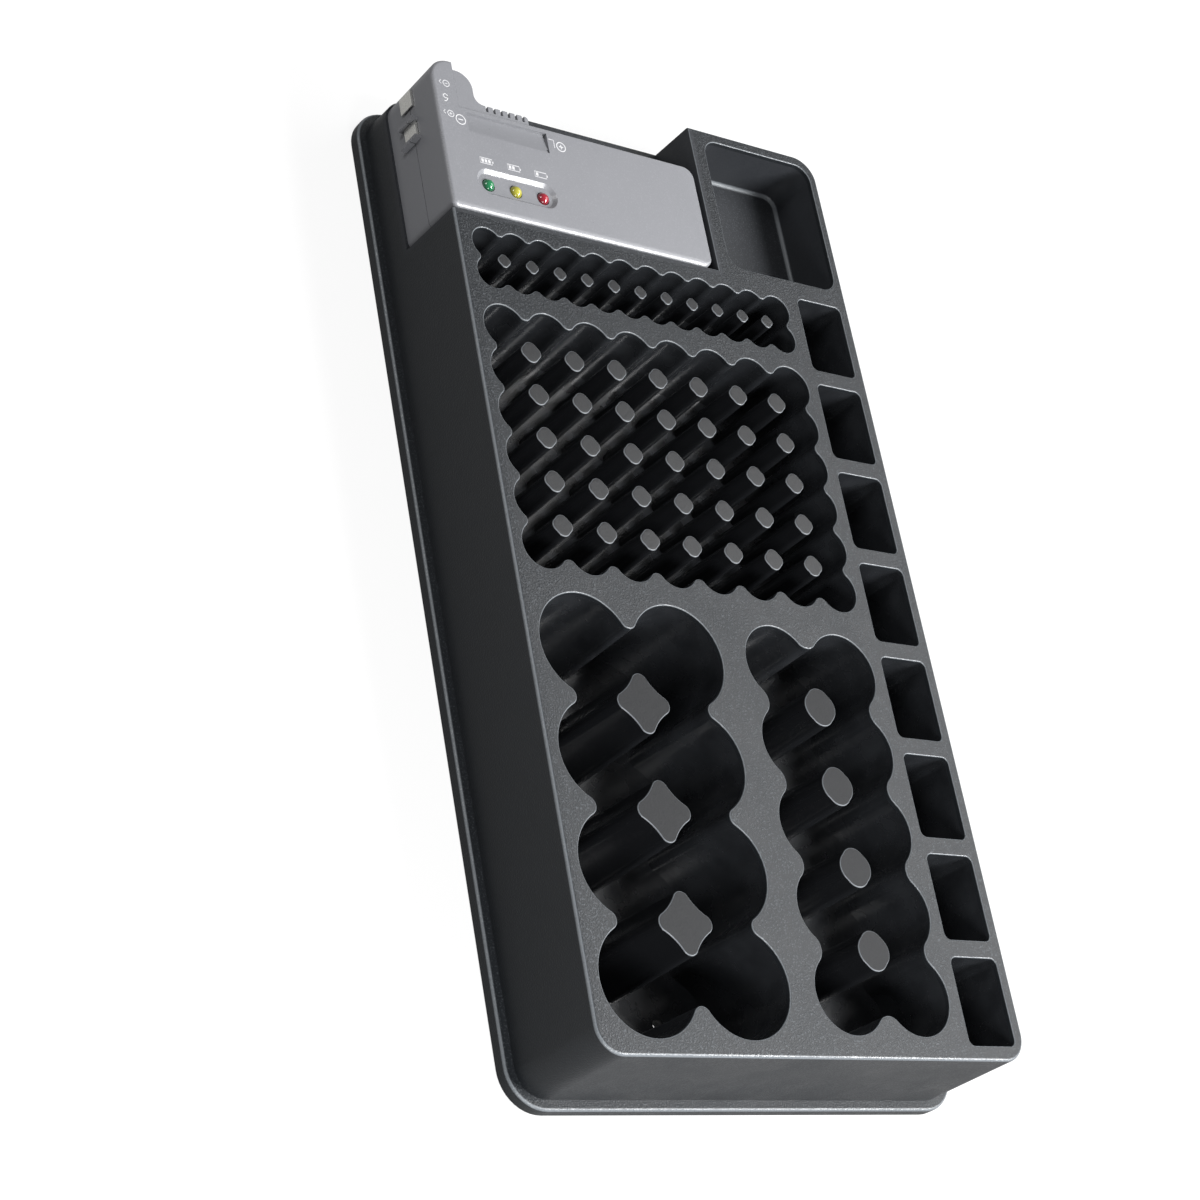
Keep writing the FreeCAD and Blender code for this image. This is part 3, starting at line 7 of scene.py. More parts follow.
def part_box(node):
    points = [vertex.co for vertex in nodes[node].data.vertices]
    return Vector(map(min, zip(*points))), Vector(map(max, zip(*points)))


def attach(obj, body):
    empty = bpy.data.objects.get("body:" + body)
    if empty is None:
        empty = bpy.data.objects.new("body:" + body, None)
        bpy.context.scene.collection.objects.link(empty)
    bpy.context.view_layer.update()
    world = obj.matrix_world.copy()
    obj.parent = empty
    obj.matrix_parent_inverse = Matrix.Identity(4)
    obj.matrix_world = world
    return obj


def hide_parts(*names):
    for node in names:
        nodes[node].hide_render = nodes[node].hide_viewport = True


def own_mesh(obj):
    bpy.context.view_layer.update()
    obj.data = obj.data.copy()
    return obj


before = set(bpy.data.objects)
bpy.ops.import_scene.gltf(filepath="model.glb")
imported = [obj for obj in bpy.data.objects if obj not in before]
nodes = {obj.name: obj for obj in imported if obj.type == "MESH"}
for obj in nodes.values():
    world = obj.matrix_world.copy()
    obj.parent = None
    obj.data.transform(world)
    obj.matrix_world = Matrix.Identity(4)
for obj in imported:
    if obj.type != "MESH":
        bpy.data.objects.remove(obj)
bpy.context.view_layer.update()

mm = 0.001
scene = bpy.context.scene
scene.view_settings.view_transform = "Standard"


def linear(hexColour):  # an sRGB hex value as linear light
    channels = [int(hexColour[i:i + 2], 16) / 255 for i in (1, 3, 5)]
    return tuple(c / 12.92 if c <= 0.04045 else ((c + 0.055) / 1.055) ** 2.4
                 for c in channels) + (1.0,)


def plug(tree, node, inputs):  # links a socket, or sets a value
    for name, value in inputs.items():
        if isinstance(value, bpy.types.NodeSocket):
            tree.links.new(value, node.inputs[name])
        else:
            node.inputs[name].default_value = value


def addNode(tree, kind, inputs=None, **settings):  # a node with its settings, values and links
    node = tree.nodes.new(kind)
    for name, value in settings.items():
        setattr(node, name, value)
    plug(tree, node, inputs or {})
    return node


def newMaterial(name):
    material = bpy.data.materials.new(name)
    material.use_nodes = True
    tree = material.node_tree
    place = addNode(tree, "ShaderNodeTexCoord").outputs["Object"]
    return material, tree, tree.nodes["Principled BSDF"], place


# How far up a face looks, from 0 for an upright one to 1 for a level one
facing = {"uprightEnds": 0.2, "roundStarts": 0.5, "roundEnds": 0.9, "levelStarts": 0.99,
          "uprightGlint": 0.1}


def roundsOnly(tree):  # 1 on the rounds between upright and level faces: polished by handling, and painted paler as a highlight
    normal = addNode(tree, "ShaderNodeTexCoord").outputs["Normal"]
    upward = addNode(tree, "ShaderNodeSeparateXYZ", {"Vector": normal}).outputs["Z"]
    offUpright = addNode(tree, "ShaderNodeMapRange", {
        "Value": upward, "From Min": facing["uprightEnds"], "From Max": facing["roundStarts"],
        "To Min": 0, "To Max": 1}).outputs["Result"]
    offLevel = addNode(tree, "ShaderNodeMapRange", {
        "Value": upward, "From Min": facing["roundEnds"], "From Max": facing["levelStarts"],
        "To Min": 1, "To Max": 0}).outputs["Result"]
    return addNode(tree, "ShaderNodeMath", {0: offUpright, 1: offLevel},
                   operation="MULTIPLY").outputs[0]


def levelOnly(tree):  # 1 on level faces and less on upright ones: where the painted glints show
    normal = addNode(tree, "ShaderNodeTexCoord").outputs["Normal"]
    upward = addNode(tree, "ShaderNodeSeparateXYZ", {"Vector": normal}).outputs["Z"]
    return addNode(tree, "ShaderNodeMapRange", {
        "Value": upward, "From Min": facing["roundEnds"], "From Max": facing["levelStarts"],
        "To Min": facing["uprightGlint"], "To Max": 1}).outputs["Result"]


# Case and deck: black ABS from a spark-eroded mould. The eye sees a grey sheen, a few dull clouds
# and a fine sparkle, partly the grain's bump and partly painted glints: lighter specks on the level
# faces. The rounds at the edges are polished by handling and painted paler as a highlight. The real
# grain is about 0.1 mm. It is drawn at 0.55 mm so that it shows.
caseFinish = {"dark": "#191b1e", "light": "#202326", "rimHighlightAndWear": "#63676b", "glint": "#4a4e52",
              "cloudMm": 26, "grainMm": 0.55, "grainDepthMm": 0.13, "scuffMm": 7,
              "glintStarts": 0.56, "glintFull": 0.72, "glintCover": 0.6,
              "roughLow": 0.34, "roughHigh": 0.45, "grainRough": 0.06, "scuffRough": 0.03,
              "wornPolish": 0.08, "specular": 0.34}
# Bin and bay: a finer and duller grain
roomFinish = dict(caseFinish, dark="#232528", light="#2a2c30", grainDepthMm=0.02, roughLow=0.46,
                  roughHigh=0.58)
# Tester: the same moulding in satin grey, where the grain hardly shows, with its own painted
# highlight on the rounds and painted glints
greyFinish = dict(caseFinish, dark="#717276", light="#76777b", rimHighlightAndWear="#7c7d81", glint="#7e7f83",
                  grainDepthMm=0.04, roughLow=0.34, roughHigh=0.42, specular=0.5)


def sparkedAbs(name, finish):
    material, tree, shader, place = newMaterial(name)
    cloud = addNode(tree, "ShaderNodeTexNoise", {
        "Vector": place, "Scale": 1 / (finish["cloudMm"] * mm), "Detail": 4.0,
        "Roughness": 0.6}).outputs["Fac"]
    grain = addNode(tree, "ShaderNodeTexNoise", {
        "Vector": place, "Scale": 1 / (finish["grainMm"] * mm), "Detail": 1.0}).outputs["Fac"]
    scuff = addNode(tree, "ShaderNodeTexNoise", {  # smudges of handling
        "Vector": place, "Scale": 1 / (finish["scuffMm"] * mm), "Detail": 6.0,
        "Roughness": 0.7}).outputs["Fac"]
    rimHighlightAndWear = roundsOnly(tree)

    # Painted glints: the brightest grain is painted lighter on level faces, a sparkle of light
    glintSpots = addNode(tree, "ShaderNodeMapRange", {
        "Value": grain, "From Min": finish["glintStarts"], "From Max": finish["glintFull"],
        "To Min": 0, "To Max": finish["glintCover"]}).outputs["Result"]
    paintedGlints = addNode(tree, "ShaderNodeMath", {0: glintSpots, 1: levelOnly(tree)},
                      operation="MULTIPLY").outputs[0]
    clouded = addNode(tree, "ShaderNodeMix", {
        0: cloud, 6: linear(finish["dark"]), 7: linear(finish["light"])},
        data_type="RGBA").outputs[2]
    glinted = addNode(tree, "ShaderNodeMix", {0: paintedGlints, 6: clouded, 7: linear(finish["glint"])},
                      data_type="RGBA").outputs[2]
    # Painted highlight: the rounds are painted paler than the moulding
    colour = addNode(tree, "ShaderNodeMix", {0: rimHighlightAndWear, 6: glinted, 7: linear(finish["rimHighlightAndWear"])},
                     data_type="RGBA").outputs[2]

    cloudRough = addNode(tree, "ShaderNodeMapRange", {
        "Value": cloud, "From Min": 0.3, "From Max": 0.7, "To Min": finish["roughLow"],
        "To Max": finish["roughHigh"]}).outputs["Result"]
    grainRough = addNode(tree, "ShaderNodeMapRange", {
        "Value": grain, "From Min": 0.3, "From Max": 0.7, "To Min": -finish["grainRough"],
        "To Max": finish["grainRough"]}).outputs["Result"]
    scuffRough = addNode(tree, "ShaderNodeMapRange", {
        "Value": scuff, "From Min": 0.35, "From Max": 0.65, "To Min": -finish["scuffRough"],
        "To Max": finish["scuffRough"]}).outputs["Result"]
    wornPolish = addNode(tree, "ShaderNodeMapRange", {
        "Value": rimHighlightAndWear, "From Min": 0, "From Max": 1, "To Min": 0,
        "To Max": finish["wornPolish"]}).outputs["Result"]
    moulded = addNode(tree, "ShaderNodeMath", {0: cloudRough, 1: grainRough}, operation="ADD")
    handled = addNode(tree, "ShaderNodeMath", {0: moulded.outputs[0], 1: scuffRough},
                      operation="ADD")
    rough = addNode(tree, "ShaderNodeMath", {0: handled.outputs[0], 1: wornPolish},
                    operation="SUBTRACT").outputs[0]

    bump = addNode(tree, "ShaderNodeBump", {
        "Height": grain, "Distance": finish["grainDepthMm"] * mm, "Strength": 1.0})
    plug(tree, shader, {"Base Color": colour, "Roughness": rough,
                        "Specular IOR Level": finish["specular"],
                        "Normal": bump.outputs["Normal"]})
    return material


# Wells: the same black ABS off polished cores. The eye sees it glossy and nearly black, with long
# soft draw marks down the walls.
linerFinish = {"dark": "#151618", "light": "#292b2e", "drawMm": 2.2, "drawStretch": 30,
               "drawDepthMm": 0.02, "smearMm": 9, "roughLow": 0.17, "roughHigh": 0.34}


def polishedAbs(name, finish):
    material, tree, shader, place = newMaterial(name)
    stretched = addNode(tree, "ShaderNodeMapping", {
        "Vector": place, "Scale": (1, 1, 1 / finish["drawStretch"])}).outputs["Vector"]
    draw = addNode(tree, "ShaderNodeTexNoise", {
        "Vector": stretched, "Scale": 1 / (finish["drawMm"] * mm), "Detail": 2.0}).outputs["Fac"]
    smear = addNode(tree, "ShaderNodeTexNoise", {
        "Vector": place, "Scale": 1 / (finish["smearMm"] * mm), "Detail": 3.0}).outputs["Fac"]
    colour = addNode(tree, "ShaderNodeMix", {
        0: smear, 6: linear(finish["dark"]), 7: linear(finish["light"])},
        data_type="RGBA").outputs[2]
    rough = addNode(tree, "ShaderNodeMapRange", {
        "Value": smear, "From Min": 0.3, "From Max": 0.7, "To Min": finish["roughLow"],
        "To Max": finish["roughHigh"]}).outputs["Result"]
    bump = addNode(tree, "ShaderNodeBump", {
        "Height": draw, "Distance": finish["drawDepthMm"] * mm, "Strength": 1.0})
    plug(tree, shader, {"Base Color": colour, "Roughness": rough,
                        "Normal": bump.outputs["Normal"]})
    return material


# Posts: polished sides like the wells, and a dull top from the spark-eroded face of the mould. The
# grain of the top is drawn coarser than it is, so that it shows.
postFinish = {"topMm": 45.93, "topBandMm": 0.1, "topColour": "#191a1c", "roughTop": 0.46,
              "roughSide": 0.24, "grainMm": 0.9, "grainDepthMm": 0.08, "sideGrain": 0.1,
              "scuffMm": 1.8, "scuffLow": 0.8, "scuffHigh": 1.1, "specular": 0.42}


def postAbs(name, finish):
    material, tree, shader, place = newMaterial(name)
    height = addNode(tree, "ShaderNodeSeparateXYZ", {"Vector": place}).outputs["Z"]
    isTop = addNode(tree, "ShaderNodeMapRange", {
        "Value": height, "From Min": (finish["topMm"] - finish["topBandMm"]) * mm,
        "From Max": finish["topMm"] * mm, "To Min": 0, "To Max": 1}).outputs["Result"]
    grain = addNode(tree, "ShaderNodeTexNoise", {
        "Vector": place, "Scale": 1 / (finish["grainMm"] * mm), "Detail": 2.0}).outputs["Fac"]
    scuff = addNode(tree, "ShaderNodeTexNoise", {
        "Vector": place, "Scale": 1 / (finish["scuffMm"] * mm), "Detail": 4.0,
        "Roughness": 0.7}).outputs["Fac"]
    scuffed = addNode(tree, "ShaderNodeMapRange", {
        "Value": scuff, "From Min": 0.3, "From Max": 0.7, "To Min": finish["scuffLow"],
        "To Max": finish["scuffHigh"]}).outputs["Result"]
    dull = addNode(tree, "ShaderNodeMath", {0: isTop, 1: scuffed}, operation="MULTIPLY").outputs[0]
    moulded = addNode(tree, "ShaderNodeMix", {
        0: isTop, 6: linear(linerFinish["dark"]), 7: linear(finish["topColour"])},
        data_type="RGBA").outputs[2]
    # Painted highlight: the rounds at the top of each post are painted paler
    colour = addNode(tree, "ShaderNodeMix", {
        0: roundsOnly(tree), 6: moulded, 7: linear(caseFinish["rimHighlightAndWear"])},
        data_type="RGBA").outputs[2]
    rough = addNode(tree, "ShaderNodeMapRange", {
        "Value": dull, "From Min": 0, "From Max": 1, "To Min": finish["roughSide"],
        "To Max": finish["roughTop"]}).outputs["Result"]
    grainy = addNode(tree, "ShaderNodeMapRange", {
        "Value": isTop, "From Min": 0, "From Max": 1, "To Min": finish["sideGrain"],
        "To Max": 1.0}).outputs["Result"]
    bump = addNode(tree, "ShaderNodeBump", {
        "Height": grain, "Distance": finish["grainDepthMm"] * mm, "Strength": grainy})
    plug(tree, shader, {"Base Color": colour, "Roughness": rough,
                        "Specular IOR Level": finish["specular"],
                        "Normal": bump.outputs["Normal"]})
    return material


# Contacts: nickel-plated spring steel, bright, with a soft sheen from fine brushing
contactFinish = {"colour": "#efeee9", "roughLow": 0.2, "roughHigh": 0.34, "brushMm": 0.3,
                 "brushStretch": 25, "brushDepthMm": 0.004}
# Screws, rod and spring: zinc-plated steel, greyer and duller
steelFinish = dict(contactFinish, colour="#a7a9ab", roughLow=0.26, roughHigh=0.4, brushMm=0.2)


def platedSteel(name, finish):
    material, tree, shader, place = newMaterial(name)
    along = addNode(tree, "ShaderNodeMapping", {
        "Vector": place, "Scale": (1, 1 / finish["brushStretch"], 1)}).outputs["Vector"]
    brush = addNode(tree, "ShaderNodeTexNoise", {
        "Vector": along, "Scale": 1 / (finish["brushMm"] * mm), "Detail": 3.0}).outputs["Fac"]
    rough = addNode(tree, "ShaderNodeMapRange", {
        "Value": brush, "From Min": 0.3, "From Max": 0.7, "To Min": finish["roughLow"],
        "To Max": finish["roughHigh"]}).outputs["Result"]
    bump = addNode(tree, "ShaderNodeBump", {
        "Height": brush, "Distance": finish["brushDepthMm"] * mm, "Strength": 1.0})
    plug(tree, shader, {"Base Color": linear(finish["colour"]), "Metallic": 1.0,
                        "Roughness": rough, "Normal": bump.outputs["Normal"]})
    return material


# Lamps: dyed clear epoxy, glossy, with painted shade that darkens the colour towards the foot
lampFinish = {"footShadeMm": 2.2, "rough": 0.06, "transmission": 0.15, "ior": 1.53, "coat": 0.5,
              "coatRough": 0.03}
lampDyes = {"led_green": {"name": "green dyed epoxy", "crown": "#1f7a4c", "foot": "#0e3d27"},
            "led_yellow": {"name": "yellow dyed epoxy", "crown": "#b0ab3c", "foot": "#6e6a1c"},
            "led_red": {"name": "red dyed epoxy", "crown": "#9c2030", "foot": "#4d0f18"}}
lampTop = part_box("led_green")[1].z / mm


def dyedEpoxy(dye):
    material, tree, shader, place = newMaterial(dye["name"])
    height = addNode(tree, "ShaderNodeSeparateXYZ", {"Vector": place}).outputs["Z"]
    outOfFootShade = addNode(tree, "ShaderNodeMapRange", {
        "Value": height, "From Min": (lampTop - lampFinish["footShadeMm"]) * mm,
        "From Max": lampTop * mm, "To Min": 0, "To Max": 1}).outputs["Result"]
    # Painted shade: the foot colour is darker than the crown
    colour = addNode(tree, "ShaderNodeMix", {
        0: outOfFootShade, 6: linear(dye["foot"]), 7: linear(dye["crown"])},
        data_type="RGBA").outputs[2]
    plug(tree, shader, {"Base Color": colour, "Roughness": lampFinish["rough"],
                        "Transmission Weight": lampFinish["transmission"],
                        "IOR": lampFinish["ior"], "Coat Weight": lampFinish["coat"],
                        "Coat Roughness": lampFinish["coatRough"]})
    return material


# Circuit board: green solder mask over glass laminate, whose weave just shows through
boardFinish = {"low": "#164a26", "high": "#1a5530", "weaveMm": 0.5, "rough": 0.3}


def solderMask(name, finish):
    material, tree, shader, place = newMaterial(name)
    weave = addNode(tree, "ShaderNodeTexChecker", {
        "Vector": place, "Scale": 1 / (finish["weaveMm"] * mm),
        "Color1": linear(finish["low"]), "Color2": linear(finish["high"])})
    plug(tree, shader, {"Base Color": weave.outputs["Color"], "Roughness": finish["rough"]})
    return material


# Print: white pad-printing ink, a thin matt film with slightly uneven cover
printFinish = {"thin": "#b4b4b6", "full": "#c6c6c8", "coverMm": 0.35, "rough": 0.6}


def padPrint(name, finish):
    material, tree, shader, place = newMaterial(name)
    cover = addNode(tree, "ShaderNodeTexNoise", {
        "Vector": place, "Scale": 1 / (finish["coverMm"] * mm), "Detail": 3.0}).outputs["Fac"]
    colour = addNode(tree, "ShaderNodeMix", {
        0: cover, 6: linear(finish["thin"]), 7: linear(finish["full"])},
        data_type="RGBA").outputs[2]
    plug(tree, shader, {"Base Color": colour, "Roughness": finish["rough"]})
    return material


def dress(nodeName, material):
    mesh = nodes[nodeName].data
    mesh.materials.clear()
    mesh.materials.append(material)


zincMaterial = platedSteel("zinc plated steel", steelFinish)
finishes = {
    sparkedAbs("spark eroded black ABS", caseFinish): ["case_shell", "base_plate"],
    sparkedAbs("fine eroded black ABS", roomFinish): ["accessory_bin", "tester_bay"],
    polishedAbs("polished black ABS", linerFinish): [
        "aa_well_liner", "aaa_well_liner", "c_well_liner", "d_well_liner", "block_cell_pockets"],
    postAbs("small posts with eroded tops", postFinish): ["aa_well_posts", "aaa_well_posts"],
    postAbs("large posts with eroded tops", dict(postFinish, specular=0.22)): [
        "c_well_posts", "d_well_posts"],
    sparkedAbs("satin grey ABS", greyFinish): ["tester_top_shell", "tester_bottom_shell", "slider"],
    platedSteel("nickel plated spring steel", contactFinish): [
        "block_contact_minus", "block_contact_plus", "fixed_cell_contact", "slider_contact"],
    zincMaterial: ["base_screws", "tester_screws", "board_screws", "guide_rod", "return_spring"],
    solderMask("green solder mask", boardFinish): ["circuit_board"],
}
for material, names in finishes.items():
    for name in names:
        dress(name, material)
for name, dye in lampDyes.items():
    dress(name, dyedEpoxy(dye))
print("finishes on the CAD nodes")


# Moulded parts and the spring, shaded by their rounds: the nodes of each body and slot
smoothing = {"mergeMm": 0.002, "sharpDegrees": 32}
smoothed = {
    ("case", "case_plastic"): ["case_shell"],
    ("case", "liner_plastic"): [
        "aa_well_liner", "aaa_well_liner", "c_well_liner", "d_well_liner", "block_cell_pockets",
        "accessory_bin", "aa_well_posts", "aaa_well_posts", "c_well_posts", "d_well_posts"],
    ("tester", "tester_plastic"): ["tester_top_shell", "tester_bottom_shell"],
    ("slider", "slider_plastic"): ["slider"],
    ("tester", "screw_steel"): ["return_spring"],
}


def softened(nodeName, body):  # a merged copy of the node
    source = nodes[nodeName]
    shape = bmesh.new()
    shape.from_mesh(source.data)
    bmesh.ops.remove_doubles(shape, verts=shape.verts, dist=smoothing["mergeMm"] * mm)
    mesh = bpy.data.meshes.new(nodeName + "_finish")
    shape.to_mesh(mesh)
    shape.free()
    for stale in [a for a in mesh.attributes
                  if a.name in ("custom_normal", "sharp_edge", "sharp_face")]:
        mesh.attributes.remove(stale)  # shading left from the loose triangles
    mesh.polygons.foreach_set("use_smooth", [True] * len(mesh.polygons))
    mesh.set_sharp_from_angle(angle=math.radians(smoothing["sharpDegrees"]))
    mesh.materials.append(source.data.materials[0])
    piece = bpy.data.objects.new(nodeName + "_finish", mesh)
    scene.collection.objects.link(piece)
    weighted = piece.modifiers.new("flats stay flat", "WEIGHTED_NORMAL")
    weighted.keep_sharp = True
    weighted.mode = "FACE_AREA_WITH_ANGLE"
    plain = bpy.data.meshes.new_from_object(
        piece.evaluated_get(bpy.context.evaluated_depsgraph_get()))
    piece.modifiers.clear()
    piece.data = plain
    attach(piece, body)
    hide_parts(nodeName)
    return piece


pieces = {name: softened(name, body)
          for (body, slot), names in smoothed.items() for name in names}
print(len(pieces), "parts shaded by their rounds")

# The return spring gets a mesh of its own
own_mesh(pieces["return_spring"])


# Screws: countersunk with a cross recess, one shape set at each place where the CAD has one. Sizes
# are in mm, and lengths run up from the face of the head.
screwSizes = {
    "base_screws": {"body": "case", "head": 2.7, "headHeight": 1.5, "shank": 1.5, "length": 9.0,
                    "thread": 0.28, "pitch": 0.9, "recess": 1.55, "recessWidth": 0.62,
                    "recessDepth": 0.8, "seed": 4},
    "tester_screws": {"body": "tester", "head": 1.9, "headHeight": 1.2, "shank": 1.0,
                      "length": 5.5, "thread": 0.2, "pitch": 0.7, "recess": 1.1,
                      "recessWidth": 0.45, "recessDepth": 0.6, "seed": 9},
}
screwForm = {"sides": 28, "faceShare": 0.9, "rim": 0.12, "neck": 0.3, "threadEnd": 1.6,
             "pointStart": 1.4, "pointEnd": 0.1, "pointRadius": 0.25, "rootShare": 0.45,
             "crestShare": 0.7, "crestFlat": 0.01}


def revolved(profile, steps):  # a closed shape turned round Z from (radius, height) pairs in mm
    shape = bmesh.new()
    rows = [[shape.verts.new((r * mm * math.cos(a * math.tau / steps),
                              r * mm * math.sin(a * math.tau / steps), z * mm))
             for a in range(steps)] for r, z in profile]
    for low, high in zip(rows, rows[1:]):
        for a in range(steps):
            shape.faces.new((low[a], low[(a + 1) % steps], high[(a + 1) % steps], high[a]))
    shape.faces.new(rows[0][::-1])
    shape.faces.new(rows[-1])
    bmesh.ops.recalc_face_normals(shape, faces=shape.faces[:])
    return shape


def crossRecess(name, sizes):  # two crossed bars that are cut out of the head
    cross = bmesh.new()
    for turn in (0, 90):
        arm = bmesh.ops.create_cube(cross, size=1)["verts"]
        bmesh.ops.scale(cross, verts=arm, vec=(sizes["recess"] * 2 * mm, sizes["recessWidth"] * mm,
                                               sizes["recessDepth"] * 2 * mm))
        bmesh.ops.rotate(cross, verts=arm, cent=(0, 0, 0),
                         matrix=Matrix.Rotation(math.radians(turn), 3, "Z"))
    mesh = bpy.data.meshes.new(name)
    cross.to_mesh(mesh)
    cross.free()
    cutter = bpy.data.objects.new(name, mesh)
    scene.collection.objects.link(cutter)
    return cutter


def screwShape(name, sizes):
    shank, root = sizes["shank"], sizes["shank"] - sizes["thread"]
    profile = [(sizes["head"] * screwForm["faceShare"], 0), (sizes["head"], screwForm["rim"]),
               (shank, sizes["headHeight"])]
    height = sizes["headHeight"] + screwForm["neck"]
    while height < sizes["length"] - screwForm["threadEnd"]:
        profile += [(root, height), (root, height + sizes["pitch"] * screwForm["rootShare"]),
                    (shank - screwForm["crestFlat"],
                     height + sizes["pitch"] * screwForm["crestShare"])]
        height += sizes["pitch"]
    profile += [(root, sizes["length"] - screwForm["pointStart"]),
                (screwForm["pointRadius"], sizes["length"] - screwForm["pointEnd"])]
    shape = revolved(profile, screwForm["sides"])
    mesh = bpy.data.meshes.new(name)
    shape.to_mesh(mesh)
    shape.free()
    screw = bpy.data.objects.new(name, mesh)
    scene.collection.objects.link(screw)
    cutter = crossRecess(name + "_cross", sizes)
    recess = screw.modifiers.new("recess", "BOOLEAN")
    recess.object, recess.operation = cutter, "DIFFERENCE"
    recess.solver, recess.use_self = "EXACT", True
    plain = bpy.data.meshes.new_from_object(
        screw.evaluated_get(bpy.context.evaluated_depsgraph_get()))
    screw.modifiers.clear()
    screw.data = plain
    bpy.data.objects.remove(cutter)
    return screw


def screwTree():
    tree = bpy.data.node_groups.new("screws at their places", "GeometryNodeTree")
    for label, kind in (("Places", "Geometry"), ("Screw", "Object"), ("Seed", "Int"),
                        ("Finish", "Material")):
        tree.interface.new_socket(label, in_out="INPUT", socket_type="NodeSocket" + kind)
    tree.interface.new_socket("Screws", in_out="OUTPUT", socket_type="NodeSocketGeometry")
    entry = addNode(tree, "NodeGroupInput")
    info = addNode(tree, "GeometryNodeObjectInfo", {"Object": entry.outputs["Screw"]})
    turn = addNode(tree, "FunctionNodeRandomValue", {
        2: 0.0, 3: math.tau, "Seed": entry.outputs["Seed"]}, data_type="FLOAT")
    upright = addNode(tree, "ShaderNodeCombineXYZ", {"Z": turn.outputs[1]})
    placed = addNode(tree, "GeometryNodeInstanceOnPoints", {
        "Points": entry.outputs["Places"], "Instance": info.outputs["Geometry"],
        "Rotation": upright.outputs[0]})
    real = addNode(tree, "GeometryNodeRealizeInstances", {"Geometry": placed.outputs["Instances"]})
    finished = addNode(tree, "GeometryNodeSetMaterial", {
        "Geometry": real.outputs["Geometry"], "Material": entry.outputs["Finish"]})
    addNode(tree, "NodeGroupOutput", {"Screws": finished.outputs["Geometry"]})
    return tree


def screwPlaces(nodeName, headRadius):  # the middle of each head, read from the CAD node
    heads = []
    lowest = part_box(nodeName)[0].z
    for vertex in nodes[nodeName].data.vertices:
        if vertex.co.z < lowest + 0.01 * mm:
            near = [head for head in heads
                    if (head[0] - vertex.co).length < 2.2 * headRadius * mm]
            if near:
                near[0].append(vertex.co.copy())
            else:
                heads.append([vertex.co.copy()])
    return [((min(p.x for p in head) + max(p.x for p in head)) / 2,
             (min(p.y for p in head) + max(p.y for p in head)) / 2, lowest) for head in heads]


screwsTree = screwTree()
inputIds = {item.name: item.identifier for item in screwsTree.interface.items_tree
            if item.in_out == "INPUT"}
for nodeName, sizes in screwSizes.items():
    screw = screwShape(nodeName + "_one", sizes)
    placesMesh = bpy.data.meshes.new(nodeName + "_finish")
    placesMesh.from_pydata(screwPlaces(nodeName, sizes["head"]), [], [])
    screws = bpy.data.objects.new(nodeName + "_finish", placesMesh)
    scene.collection.objects.link(screws)
    modifier = screws.modifiers.new("screws", "NODES")
    modifier.node_group = screwsTree
    modifier[inputIds["Screw"]] = screw
    modifier[inputIds["Seed"]] = sizes["seed"]
    modifier[inputIds["Finish"]] = zincMaterial
    plain = bpy.data.meshes.new_from_object(
        screws.evaluated_get(bpy.context.evaluated_depsgraph_get()))
    screws.modifiers.clear()
    screws.data = plain
    bpy.data.objects.remove(screw)
    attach(screws, sizes["body"])
    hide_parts(nodeName)
    print(nodeName, len(placesMesh.vertices), "screws,", len(plain.polygons), "faces")


# Marks printed on the tester's top: polarity signs, arrows, a plain 9 and three charge bars. All
# places and sizes are in mm.
marks = {
    "thickness": 0.03, "bold": 0.38, "line": 0.34, "fine": 0.28, "ringSteps": 40,
    "largeSigns": ((-77.7, 151.7, 1.9, False), (-35.7, 151.3, 1.85, True)),
    "smallSigns": ((-81.5, 153.15, 1.25, True), (-81.3, 165.7, 1.25, False)),
    "arrows": ((-84.4, 153.4), (-84.1, 165.9)), "arrowSize": 0.8,
    "bracket": ((-40.8, 153.4), (-38.6, 153.4), (-38.6, 150.2)),
    "nineCentre": (-82.5, 160.2), "nineRadius": 0.85, "nineTurn": 15,
    "nineTail": ((-81.65, 160.2), (-81.7, 159.3), (-82.05, 158.6), (-82.6, 158.15),
                 (-83.2, 158.05)),
    "charges": ((-69.85, 3), (-58.5, 2), (-47.15, 1)), "chargeLeft": 2.6, "chargeRight": 2.3,
    "chargeLow": 135.6, "chargeHigh": 137.8, "cap": (0.17, 136.3, 0.55, 137.1),
    "barPitch": 1.4, "barWidth": 1.0, "barInset": 0.5, "barMargin": 0.45,
}
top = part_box("tester_top_shell")[1].z
markMesh = bmesh.new()


def ribbon(points, width, closed=False):  # a flat printed line through points
    count = len(points)
    pairs = []
    for index, point in enumerate(points):
        before = points[index - 1] if closed or index else point
        after = points[(index + 1) % count] if closed or index < count - 1 else point
        along = (Vector(after) - Vector(before)).normalized()
        across = Vector((-along.y, along.x)) * width / 2
        pairs.append((Vector(point) + across, Vector(point) - across))
    rims = [[markMesh.verts.new((p.x * mm, p.y * mm, top)) for p in pair] for pair in pairs]
    for index in range(count if closed else count - 1):
        a, b = rims[index], rims[(index + 1) % count]
        markMesh.faces.new((a[1], b[1], b[0], a[0]))


def bar(x0, y0, x1, y1):
    markMesh.faces.new([markMesh.verts.new((x * mm, y * mm, top))
                        for x, y in ((x0, y0), (x1, y0), (x1, y1), (x0, y1))])


def polarity(x, y, radius, plus, line):
    ribbon([(x + radius * math.cos(a * math.tau / marks["ringSteps"]),
             y + radius * math.sin(a * math.tau / marks["ringSteps"]))
            for a in range(marks["ringSteps"])], line, True)
    reach = radius / 2
    bar(x - reach, y - line / 2, x + reach, y + line / 2)
    if plus:
        bar(x - line / 2, y - reach, x + line / 2, y - line / 2)
        bar(x - line / 2, y + line / 2, x + line / 2, y + reach)


